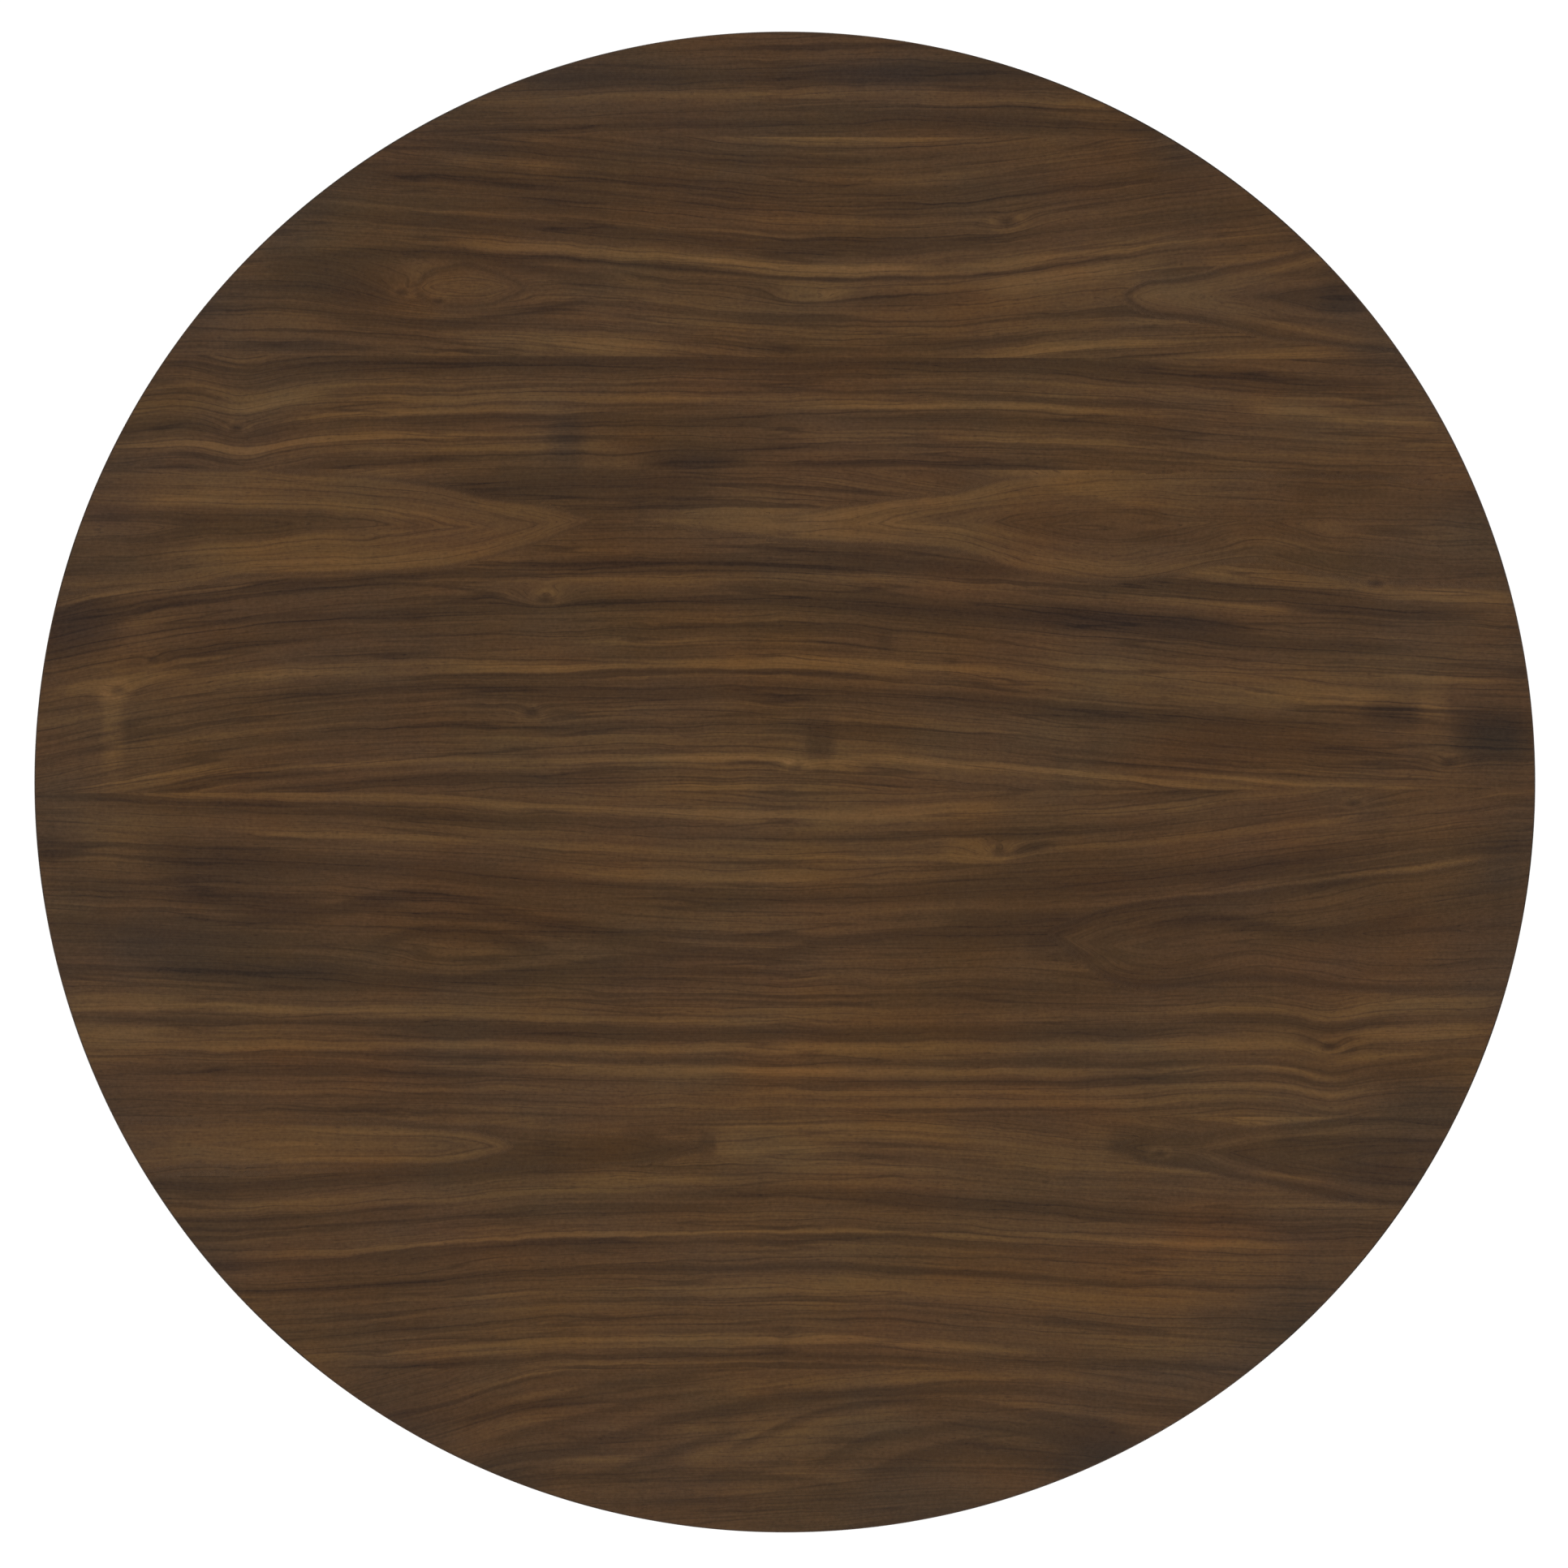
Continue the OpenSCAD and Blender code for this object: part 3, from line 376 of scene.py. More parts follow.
# %% [markdown]
# ### Leaf 6
# A narrow, warm leaf of fine straight lines, which all bend round one pin knot at the right.
# %% Leaf 6, narrow and warm
describe_leaf(
    0.76, [(-510, 6), (-270, 3), (-95, 0), (20, -1), (250, -1), (360, 0), (387, -5),
           (417, -1), (510, 2)], [], [
    (-350, -161, 190, 2.5, 1.4), (-471, -155, 46, 6, .8), (-154, -168, 150, 2, .8),
    (-385, -170, 150, 2.5, -1.0), (-96, -177, 173, 5.5, -.9), (134, -179, 173, 5, -1.2),
    (-396, -181, 98, 4, 1.0), (-385, -189, 98, 2.2, .9), (-125, -189, 173, 3, 1.2), (134, -189, 190, 4, 1.2),
    (308, -185, 80, 4, 1.1), (336, -160, 70, 2.5, 1.0), (446, -158, 58, 5, 1.4), (365, -172, 75, 4, -1.0),
    (446, -178, 52, 4.5, 1.4), (388, -188, 23, 2, -1.3), (-316, -194, 144, 2, -.7),
    (-39, -199, 290, 1.6, -.9), (250, -201, 173, 1.6, -.8), (-327, -206, 173, 4.5, -1.1),
    (-68, -214, 173, 5, -1.1), (192, -213, 190, 4, -.4), (-212, -200, 173, 2, .5), (77, -206, 173, 2.2, 1.0),
    (342, -203, 87, 2.5, 1.0), (134, -220, 200, 2.5, .9), (365, -217, 87, 2.5, .8),
    (250, -227, 173, 2.5, 1.0), (-385, -220, 92, 2, .4), (19, -230, 162, 2, .5), (-316, -224, 144, 2, -.7),
    (134, -214, 173, 1.3, -.9), (-235, -235, 150, 1.3, -1.0), (192, -233, 173, 1.3, -1.0),
    (423, -194, 35, 2, .9), (458, -217, 35, 13, -.4),
    (19, -154, 173, 5, -.6)],
    [(387, -188, 4)])

# %% [markdown]
# ### Leaf 7
# Under its back seam a pale tongue ends inside a dark almond at the left, and a dark tongue comes in from the
# right.
# %% Leaf 7, with a tongue in an almond
describe_leaf(
    0.78, [(-470, -16), (-385, -17), (-270, -10), (-185, -3), (-65, 0), (75, 0), (200, -8),
           (340, -14), (450, -15)],
    [(-490, -247, 370, 20, 25), (510, -255, 240, 20, 25)], [
    (-420, -241, 92, 3, .5), (-316, -249, 40, 7.5, .7), (-243, -249, 26, 10, .7), (-189, -250, 16, 10, .7),
    (-154, -252, 12, 7.5, .2), (-119, -259, 29, 9, -1.5), (-160, -266, 35, 5, -1.2),
    (-102, -252, 13, 7.5, -1.0), (-74, -253, 15, 9, -.3), (-55, -258, 6, 9, -1.1), (-4, -255, 46, 11, .9),
    (-4, -244, 46, 4, 1.1), (106, -249, 87, 7.5, .8), (181, -260, 52, 9, .7), (54, -266, 52, 2.5, -.5),
    (-390, -260, 75, 3, .9), (-465, -255, 35, 2, -1.0), (-385, -253, 23, 5, -.7),
    (-327, -284, 133, 5.5, -1.3), (-200, -277, 63, 4.5, -.9), (-431, -288, 35, 5, -.8),
    (-189, -292, 98, 2.5, 1.0), (-96, -282, 52, 3, 1.0), (-316, -297, 80, 3, .6), (-21, -263, 40, 4.5, .7),
    (54, -273, 63, 4, .9), (-356, -314, 104, 6, -.9), (-143, -305, 115, 4.5, -.8), (19, -292, 104, 5, -.9),
    (123, -299, 75, 5, -1.2), (261, -307, 104, 5, -1.1), (-212, -309, 115, 1.3, .5),
    (-189, -324, 190, 2.2, 1.2), (65, -320, 115, 2, .9), (261, -327, 98, 2.5, 1.1),
    (-212, -332, 196, 4.5, -.8), (106, -327, 150, 3, -.7), (-327, -360, 80, 2.2, -1.6),
    (-200, -349, 87, 2, -1.5), (-10, -345, 173, 2, -1.5), (198, -353, 115, 2, -1.3), (336, -359, 46, 2, -1.0),
    (-154, -361, 150, 3, .4), (77, -361, 173, 7.5, .8), (250, -367, 87, 6, .3), (-68, -374, 173, 5, .3),
    (77, -377, 173, 1.3, -.7), (-68, -368, 144, 1.3, -.8), (-183, -382, 144, 1.3, -.8),
    (-119, -396, 190, 2, 1.3), (48, -397, 127, 2.2, 1.2), (-154, -402, 150, 1.6, .8), (192, -390, 115, 5, .2),
    (-119, -408, 133, 1.6, -1.4), (30, -409, 104, 2, -1.5), (-279, -416, 75, 2, -1.0),
    (-39, -413, 138, 1.3, .5), (250, -414, 92, 5.5, -.9), (-310, -390, 70, 5, -.5), (336, -379, 52, 13, -.5),
    (267, -255, 35, 7.5, -1.2), (244, -260, 14, 4, -1.2), (238, -252, 35, 2, .4), (319, -249, 52, 5.5, -.9),
    (388, -258, 40, 9, -1.2), (357, -259, 8, 4, -.9), (308, -263, 35, 6, -.4), (365, -275, 58, 5, -.6),
    (417, -275, 23, 14, -1.2), (342, -279, 75, 4, 1.1), (209, -274, 63, 3, .7), (354, -237, 87, 4, 1.0),
    (388, -301, 52, 3, .6)],
    [(267, -264, 3)],
    [([(-540, -240), (-300, -239), (-200, -245), (-140, -249), (-85, -254), (-60, -259)],
      [(-540, -285), (-300, -276), (-200, -274), (-140, -273), (-85, -268), (-60, -262)],
      [(0, -.9), (2, -.4), (5, -1.0), (9, -.4), (12, -1.1), (16, -.8)]),
     ([(-540, -243), (-300, -244), (-235, -247), (-204, -252), (-192, -258)],
      [(-540, -278), (-300, -271), (-235, -270), (-204, -266), (-192, -261)],
      [(0, .0), (2, .5), (5, .6), (6.5, -.1), (8, .5), (10, 0), (12, .5), (16, .3)]),
     ([(235, -258), (250, -253), (290, -249), (350, -244), (400, -240), (540, -239)],
      [(235, -261), (250, -267), (290, -274), (340, -285), (371, -292), (540, -304)],
      [(0, -1.2), (3, -.9), (6, -.3), (9, .2), (12, -.2), (16, -.7), (22, -.5), (30, -.3)])])

# %% [markdown]
# ### Leaf 8
# The front leaf has the least contrast. Its growth lines open like a fan and turn back round a blunt tip.
# %% Leaf 8, with a fan of growth lines
describe_leaf(
    0.62, [(-315, -35), (-240, -16), (-185, -1), (-95, 5), (20, 12), (110, 18), (185, 17), (250, 10),
           (340, 0)],
    [(170, -477, 190, 23, 14), (-120, -471, 92, 12, 6)], [
    (-200, -425, 46, 2.5, .8), (-212, -432, 63, 2, -.9), (-154, -434, 52, 2.5, .6),
    (-143, -440, 70, 2.5, -1.1), (-154, -451, 70, 3, .6), (-235, -451, 52, 5.5, -.4),
    (-79, -438, 63, 4.5, .9), (19, -428, 92, 4, 1.2), (134, -423, 80, 3, .9), (238, -430, 52, 3, .6),
    (71, -434, 80, 3, -.8), (192, -434, 70, 3, -.5), (-16, -417, 70, 1.3, -1.0), (-166, -477, 52, 5, -.9),
    (-119, -465, 46, 3, -.8), (-62, -451, 46, 4, -.5), (-96, -460, 52, 3, .5), (-44, -477, 35, 7.5, .9),
    (-4, -462, 35, 9, 1.1), (48, -449, 40, 4.5, 1.1), (123, -442, 70, 4, 1.2), (204, -446, 52, 3, .9),
    (233, -480, 40, 9, -.7), (209, -462, 70, 6.5, -.2), (-154, -494, 52, 6, -.7), (-39, -503, 70, 4, .6),
    (-131, -481, 29, 4, .6), (-56, -517, 92, 5, -.3), (77, -506, 87, 7.5, -.3),
    (19, -491, 35, 5, .6), (134, -512, 52, 5, -.5), (308, -448, 52, 6.5, -.5)],
    strokes=[
        ([(-53, -480), (-16, -464), (19, -450), (77, -441), (134, -442), (192, -449), (250, -461)], 2.2,
         -1.5),
        ([(15, -486), (50, -470), (90, -460), (134, -456), (180, -460), (230, -470)], 2.2, -1.2),
        ([(55, -492), (85, -480), (130, -472), (175, -476), (215, -486)], 2.4, -1.2),
        ([(-240, -457), (-180, -440), (-120, -428), (-50, -421)], 2.0, -1.0),
        ([(-218, -470), (-150, -452), (-90, -438), (-20, -428)], 2.0, -1.0),
        ([(-192, -484), (-130, -466), (-70, -450), (0, -437)], 2.0, -1.0),
        ([(-155, -498), (-100, -482), (-50, -466), (-10, -455)], 2.0, -.9),
        ([(-80, -500), (-40, -492), (10, -496), (60, -506)], 2.4, -.6)])
print("leaves described:", len(LEAVES), " streaks:", sum(len(leaf["streaks"]) for leaf in LEAVES))

# %% [markdown]
# ### Broad light and dark areas
# A leaf is darker or paler in places, whatever its lines do. Each soft oval below is its middle (x, y), its
# half length, its half width, and how much paler or darker it makes the wood.
# %% Broad light and dark areas
AREAS_MM = [(-120, 425, 180, 30, -.38), (150, 425, 220, 18, -.25), (-290, 350, 50, 18, -.25),
            (330, 400, 60, 14, -.3),
            (60, 508, 60, 8, .25), (120, 355, 80, 20, .25), (-490, 182, 40, 16, .38),
            (-450, 150, 70, 10, -.32), (-320, 211, 60, 10, -.36), (-190, 182, 80, 15, -.24),
            (-160, 252, 40, 8, .28), (-85, 222, 40, 12, .22), (205, 270, 60, 10, .28),
            (160, 230, 110, 10, -.17), (110, 170, 70, 10, -.20), (270, 89, 80, 11, -.28),
            (330, 70, 80, 9, -.20), (-120, 90, 70, 9, -.18), (-130, 70, 90, 8, .22), (-480, 105, 40, 18, .25),
            (0, 110, 50, 9, .16), (-485, -52, 40, 15, .34), (-200, -50, 70, 9, -.20), (200, -50, 70, 9, -.18),
            (485, -50, 35, 12, .30), (-20, -148, 80, 16, .30), (-165, -180, 60, 12, -.16),
            (210, -190, 130, 9, -.20), (-110, -212, 160, 9, .17), (165, -250, 50, 22, -.24),
            (0, -251, 40, 9, -.16), (50, -286, 80, 13, .22), (290, -246, 70, 11, .22),
            (-330, -260, 110, 14, .15), (-310, -310, 80, 9, .18), (-30, -330, 80, 9, .20),
            (330, -308, 60, 11, .20), (245, -350, 60, 9, .18), (260, -398, 60, 15, .20),
            (-90, -432, 120, 8, -.08), (150, -462, 50, 11, .18), (-75, -462, 50, 22, .14),
            (-80, -509, 50, 8, -.20), (-85, 470, 50, 8, -.20), (-240, 470, 40, 8, .18),
            (240, 450, 40, 8, -.18), (5, 408, 50, 22, .18), (250, 392, 60, 11, -.14),
            (-160, 371, 130, 7, -.18), (-100, 311, 160, 7, .18), (-80, 290, 120, 8, .14),
            (-400, 290, 50, 9, .18), (-70, 271, 60, 7, -.19), (10, 252, 60, 7, .15), (-285, 171, 70, 8, -.22),
            (-400, 132, 50, 9, .20), (240, -70, 60, 8, .18), (320, -10, 60, 7, -.20), (-400, -90, 50, 9, .16),
            (-70, -114, 110, 14, .14), (-120, -250, 60, 7, .24), (-480, 212, 40, 7, -.20),
            (120, -487, 90, 8, -.15), (400, 330, 40, 12, .25), (-400, 300, 60, 30, .25),
            (-110, 185, 60, 12, -.2), (-200, 125, 200, 14, -.22), (120, 118, 130, 14, -.22),
            (390, 150, 70, 16, -.2), (-320, 100, 110, 22, -.22), (-320, 40, 110, 20, -.25),
            (60, 5, 150, 18, .25), (265, 27, 80, 18, -.38), (400, 30, 40, 20, -.2), (-400, -70, 60, 18, -.3),
            (20, -35, 80, 16, .2), (250, -90, 110, 28, -.32), (400, -72, 50, 10, -.3),
            (490, -112, 35, 25, .15), (-250, -120, 90, 22, -.25), (220, -145, 110, 10, -.25),
            (-480, -40, 30, 18, .35), (-240, 200, 50, 12, -.2), (-490, -180, 50, 24, .3),
            (0, -168, 80, 14, .25), (-60, -212, 190, 12, .33), (330, -190, 90, 12, .12),
            (480, -205, 25, 12, .2), (-380, -262, 120, 20, .25), (330, -243, 50, 8, .2),
            (-290, -362, 70, 16, -.25), (320, -362, 60, 28, .28), (270, -410, 70, 12, .2),
            (250, -460, 60, 16, .05), (-40, -440, 120, 12, -.22)]
print("areas:", len(AREAS_MM))

# %% [markdown]
# ## Turning the description into a figure
# The sag is a smooth curve through its guide points. A little soft noise makes the lines waver as real grain
# does: it is *value noise*, random heights on a lattice with a smooth blend between them, from a seeded
# generator, so that every run gives the same board. Each streak follows its grain line, fades out at both
# ends, and is kept near its own place, so that it doesn't turn up again on the far side of a tongue.
# %% The curve, the noise and the figure
def through_points(points, x):
    """A cubic curve through the guide points, with the slope at each point taken from its neighbours."""
    px, py = np.array(points, float).T
    slope = np.gradient(py, px)
    i = np.clip(np.searchsorted(px, x) - 1, 0, len(px) - 2)
    h = px[i + 1] - px[i]
    t = np.clip((x - px[i]) / h, 0, 1)
    return ((2 * t**3 - 3 * t**2 + 1) * py[i] + (t**3 - 2 * t**2 + t) * h * slope[i]
            + (3 * t**2 - 2 * t**3) * py[i + 1] + (t**3 - t**2) * h * slope[i + 1])


def value_noise(u, v, seed):
    """Random heights from -1 to 1 on whole (u, v), blended by 3f^2-2f^3 of the fraction f in between."""
    lattice = np.random.default_rng(seed).random((256, 256)) * 2 - 1
    iu, iv = np.floor(u).astype(int), np.floor(v).astype(int)
    fu, fv = u - iu, v - iv
    fu, fv = fu * fu * (3 - 2 * fu), fv * fv * (3 - 2 * fv)
    low = lattice[iu % 256, iv % 256] * (1 - fu) + lattice[(iu + 1) % 256, iv % 256] * fu
    high = lattice[iu % 256, (iv + 1) % 256] * (1 - fu) + lattice[(iu + 1) % 256, (iv + 1) % 256] * fu
    return low * (1 - fv) + high * fv


def ring_height(leaf, x, y):
    """y - sag(x) plus, for each eye, bump * exp(-((x-x0)/a)^2 - ((y'-y0')/b)^2), where y' is y - sag."""
    level = y - through_points(leaf["sag"], x)
    ring = level.copy()
    for ex, ey, a, b, bump in leaf["eyes"]:
        centre = ey - through_points(leaf["sag"], np.array([float(ex)]))
        ring += bump * np.exp(-((x - ex) / a) ** 2 - ((level - centre) / b) ** 2)
    for kx, ky, size in leaf["knots"]:
        centre = ky - through_points(leaf["sag"], np.array([float(kx)]))
        ring += size * np.exp(-((x - kx) / (3.2 * size)) ** 2 - ((level - centre) / (1.5 * size)) ** 2)
    return level, ring


def lay_tongue(upper, lower, profile, x, y, ring, shade, lively):
    """depth = the smaller distance to the upper and to the lower edge, wavering by a little noise. Inside,
    the shade follows the profile by depth and fades away from the point by exp(-(d/360)^4), and the ring
    height rises with depth, so that fine lines nest in the tongue."""
    waver = 2.2 * value_noise(x / 42, y / 12, 57) + 0.7 * value_noise(x / 15, y / 5, 58)
    depth = np.minimum(through_points(upper, x) - y, y - through_points(lower, x)) + waver
    depth = np.where((x > upper[0][0]) & (x < upper[-1][0]), depth, -9.0)
    inside = np.clip((depth + 1.2) / 2.4, 0, 1)
    inside = inside * inside * (3 - 2 * inside)
    point = 0 if abs(upper[0][1] - lower[0][1]) < 4 else -1
    fade = np.exp(-(np.abs(x - upper[point][0]) / 360) ** 4)
    own = np.interp(depth, *np.array(profile, float).T) * fade
    nested = 0.9 * depth + 6.0 * upper[1][1]
    return (ring * (1 - inside) + nested * inside, shade * (1 - 0.65 * inside) + own * inside,
            lively * (1 - 0.25 * inside))


def figure_of_leaf(n, x, y):
    """Ring height, shade, knot darkness and contrast of leaf n at points (x, y) in millimetres. A stroke is
    crisp above its line and three times as soft below it, as late wood is against the next early wood."""
    leaf = LEAVES[n]
    level, ring = ring_height(leaf, x, y)
    ring += (1.25 * value_noise(x / 40, level / 9 + 70, n + 90)
             + 0.6 * value_noise(x / 13, level / 3.5 + 90, n + 190))
    shade = np.zeros_like(x)
    for sx, sy, length, width, strength in leaf["streaks"]:
        here = (np.array([float(sx)]), np.array([float(sy)]))
        own_level, own_ring = ring_height(leaf, *here)
        reach = max(12.7, 3.4 * width)
        shade += (strength * np.exp(-((ring - own_ring) / width) ** 2 - 1.2 * ((x - sx) / length) ** 4
                                    - ((level - own_level) / reach) ** 4))
    lively = np.full_like(x, leaf["lively"])
    for upper, lower, profile in leaf["tongues"]:
        ring, shade, lively = lay_tongue(upper, lower, profile, x, y, ring, shade, lively)
    for points, width, strength in leaf["strokes"]:
        off = y - through_points(points, x) + 1.2 * value_noise(x / 33, y / 9, 61)
        ends = np.clip((x - points[0][0]) / 28, 0, 1) * np.clip((points[-1][0] - x) / 28, 0, 1)
        shade += strength * ends * np.exp(-(off / (width * np.where(off > 0, 1.0, 3.0))) ** 2)
    areas = np.zeros_like(x)
    for px, py, a, b, strength in AREAS_MM:
        areas += strength * np.exp(-((x - px) / a) ** 2 - ((y - py) / b) ** 2)
    knot = np.zeros_like(x)
    for kx, ky, size in leaf["knots"]:
        away = np.hypot((x - kx) / (1.1 * size), (y - ky) / (0.6 * size))
        knot += 0.8 * np.exp(-away**2) - 0.3 * np.exp(-((away - 2.0) / 0.8) ** 2)
    return ring, 0.70 * leaf["lively"] * np.tanh(1.1 * shade) + areas, knot, lively


print("sag of leaf 4 at its ends:", through_points(LEAVES[3]["sag"], np.array([-500.0, 500.0])).round(1))

# %% [markdown]
# Near the rim and over a few patches, the dark wood is drawn darker, greyer and slightly blue. This *smoke*
# is one more value on the surface: it rises towards the rim in uneven lobes, and in some soft ovals.
# %% Smoke near the rim
SMOKE_MM = [(85, 505, 110, 10, .7), (-155, 243, 14, 17, .9), (-60, 229, 26, 7, .6), (-505, -55, 24, 22, .3),
            (505, 30, 26, 16, .9), (458, -222, 34, 14, .5), (400, 338, 22, 14, .9), (-385, 410, 50, 35, .6),
            (-506, 110, 28, 20, .8), (-450, -118, 60, 14, .5), (508, -60, 20, 16, .5),
            (-480, 188, 26, 12, .6), (260, -480, 60, 14, .9), (270, -420, 45, 9, .6), (-330, 310, 60, 8, .6),
            (250, 113, 80, 8, .6),
            (-373, -134, 75, 8, .5), (400, -370, 60, 50, .5), (-420, 330, 50, 30, .5),
            (-150, 505, 60, 14, .6)]


def smoke_at(x, y):
    """Lobes of noise near the rim, plus strength * exp(-((x-x0)/a)^2 - ((y-y0)/b)^2) for each patch."""
    edge = np.clip((np.hypot(x, y) / 532 - 0.80) / 0.2, 0, 1) ** 1.6
    smoke = edge * np.clip(0.22 + 0.55 * value_noise(x / 70, y / 38, 31), 0, 1)
    for px, py, a, b, strength in SMOKE_MM:
        smoke += 0.8 * strength * np.exp(-((x - px) / a) ** 2 - ((y - py) / b) ** 2)
    return np.clip(smoke, 0, 1.2)


print("smoke at the centre and at the back rim:", smoke_at(np.zeros(2), np.array([0.0, 530.0])).round(2))

# %% [markdown]
# ## The leaves as surfaces
# A leaf of real veneer is 0.6 mm thick and is cut to meet its neighbours along a knife line and the rim along
# a circle. Each one is a grid whose rows run along the grain. The row heights are spread evenly by angle
# round the rim, so that the rim stays round even on the small end leaves. The edge of the grid is then
# dropped by the thickness and closed underneath.
# %% One leaf as a grid
CELL_X_MM, CELL_Y_MM = 4.0, 1.5


def leaf_points(n, radius_mm):
    """Point (u, v): angle = blend of the two seam angles by v, y = radius*sin(angle), and
    x = u*radius*cos(angle). A seam leans a little, so its height depends on x, and a few repeats settle the
    two together."""
    edges = [(radius_mm, radius_mm)] + SEAMS_MM + [(-radius_mm, -radius_mm)]
    above, below = edges[n], edges[n + 1]
    span = abs(math.asin(above[0] / radius_mm) - math.asin(below[0] / radius_mm))
    rows = int(span * radius_mm / CELL_Y_MM) + 2
    cols = int(2 * radius_mm / CELL_X_MM)
    u, v = np.meshgrid(np.linspace(-1, 1, cols), np.linspace(0, 1, rows), indexing="ij")
    x = u * radius_mm
    for _ in range(8):
        share = (x + radius_mm) / (2 * radius_mm)
        low = np.arcsin(np.clip((below[0] + (below[1] - below[0]) * share) / radius_mm, -1, 1))
        high = np.arcsin(np.clip((above[0] + (above[1] - above[0]) * share) / radius_mm, -1, 1))
        angle = low + v * (high - low)
        x = u * radius_mm * np.cos(angle)
    return x, radius_mm * np.sin(angle)


def closed_slab(name, x, y, top, thickness):
    """The grid as a top face, its border dropped by the thickness, and one flat face under it."""
    cols, rows = x.shape
    index = np.arange(cols * rows).reshape(cols, rows)
    quads = np.stack([index[:-1, :-1], index[1:, :-1], index[1:, 1:], index[:-1, 1:]], -1).reshape(-1, 4)
    border = np.concatenate([index[:-1, 0], index[-1, :-1], index[:0:-1, -1], index[0, :0:-1]])
    under = np.arange(len(border)) + cols * rows
    walls = np.stack([border, under, np.roll(under, -1), np.roll(border, -1)], -1)
    points = np.stack([x, y, np.full_like(x, top)], -1).reshape(-1, 3)
    foot = points[border] - [0, 0, thickness]
    mesh = bpy.data.meshes.new(name)
    faces = quads.tolist() + walls.tolist() + [under[::-1].tolist()]
    mesh.from_pydata(np.vstack([points, foot]).tolist(), [], faces)
    return mesh, border


def to_vertices(mesh, name, values, kind="FLOAT", field="value"):
    """Stores one value per vertex under a name that a material can read."""
    mesh.attributes.new(name, kind, "POINT").data.foreach_set(field, np.asarray(values, np.float32).ravel())


print("grid of the widest leaf:", leaf_points(3, BOARD_R * 1000)[0].shape)

# %% [markdown]
# ## Veneer finish
# *American walnut veneer, sliced, stained dark, and finished in dead-flat lacquer.* The eye sees warm brown
# streaks over a purplish brown ground, with fine dark lines of late wood, short dark dashes where the pores
# were cut, and a soft sheen without any clear reflection. The shade of a point is its streak value plus three
# layers of noise that lie along the grain lines: broad bands about 8 mm apart, growth lines about 3 mm apart,
# and fine lines at 1.3 mm. Real pores are 0.2 mm wide; they are drawn 0.6 mm wide here so that they still
# show when the whole top is in view. Stain never takes evenly, so patches about 150 x 60 mm lean to orange or
# to purple, and a little to olive.
# %% The veneer material
def along_grain(tree, vector, size_mm, detail, seed_z=0.0):
    """Noise stretched to size_mm = (along, across) on the (along, ring) plane, as a value near 0.5."""
    scaled = put(tree, "ShaderNodeMapping", {"Vector": vector, "Location": (0, 0, seed_z),
                                             "Scale": (1000 / size_mm[0], 1000 / size_mm[1], 1.0)})
    return put(tree, "ShaderNodeTexNoise", {"Vector": scaled.outputs[0], "Scale": 1.0, "Detail": detail,
                                            "Roughness": 0.55}).outputs[0]


def add_scaled(tree, total, value, gain, middle=0.5):
    """total + gain * (value - middle)."""
    shifted = put(tree, "ShaderNodeMath", {0: value, 1: gain, 2: -gain * middle}, operation="MULTIPLY_ADD")
    return put(tree, "ShaderNodeMath", {0: total, 1: shifted.outputs[0]}, operation="ADD").outputs[0]


veneer, tree, shader = new_material("American walnut veneer, sliced, stained and flat lacquered")
where = put(tree, "ShaderNodeTexCoord").outputs["Object"]
part = put(tree, "ShaderNodeSeparateXYZ", {0: where}).outputs
ring = put(tree, "ShaderNodeAttribute", attribute_name="ring").outputs["Fac"]
shade = put(tree, "ShaderNodeAttribute", attribute_name="shade").outputs["Fac"]
knot = put(tree, "ShaderNodeAttribute", attribute_name="knot").outputs["Fac"]
smoke = put(tree, "ShaderNodeAttribute", attribute_name="smoke").outputs["Fac"]
lively = put(tree, "ShaderNodeAttribute", attribute_name="lively").outputs["Fac"]
grain = put(tree, "ShaderNodeCombineXYZ", {0: part["X"], 1: ring, 2: 0.0}).outputs[0]
bands = along_grain(tree, grain, (320, 8), 2.0)
lines = put(tree, "ShaderNodeMath", {0: bands, 1: 0.80, 2: -0.40}, operation="MULTIPLY_ADD").outputs[0]
lines = add_scaled(tree, lines, along_grain(tree, grain, (150, 3.2), 2.0, 3.0), 0.75)
lines = add_scaled(tree, lines, along_grain(tree, grain, (60, 1.3), 3.0, 7.0), 0.70)
for size_mm, width, gain, seed in (((420, 11), 0.028, -0.50, 13.0), ((260, 6), 0.032, -0.30, 17.0)):
    level = along_grain(tree, grain, size_mm, 1.0, seed)
    off = put(tree, "ShaderNodeMath", {0: level, 1: 0.5}, operation="SUBTRACT").outputs[0]
    off = put(tree, "ShaderNodeMath", {0: off}, operation="ABSOLUTE").outputs[0]
    late_wood = put(tree, "ShaderNodeMapRange", {0: off, 1: 0.0, 2: width, 3: 1.0, 4: 0.0},
                    interpolation_type="SMOOTHSTEP").outputs[0]
    lines = add_scaled(tree, lines, late_wood, gain, 0.12)
total = put(tree, "ShaderNodeMath", {0: lines, 1: lively, 2: shade}, operation="MULTIPLY_ADD").outputs[0]
mottle = put(tree, "ShaderNodeTexNoise", {"Vector": where, "Scale": 420.0, "Detail": 3.0}).outputs[0]
total = add_scaled(tree, total, mottle, 0.55)
chatter = put(tree, "ShaderNodeMapping", {"Vector": where, "Scale": (90, 14, 1)}).outputs[0]
cross = put(tree, "ShaderNodeTexNoise", {"Vector": chatter, "Scale": 1.0, "Detail": 2.0}).outputs[0]
total = add_scaled(tree, total, cross, 0.20)
total = add_scaled(tree, total, knot, -0.75, 0.0)
total = add_scaled(tree, total, smoke, -0.26, 0.0)
pores = along_grain(tree, grain, (7, 0.6), 1.0, 11.0)
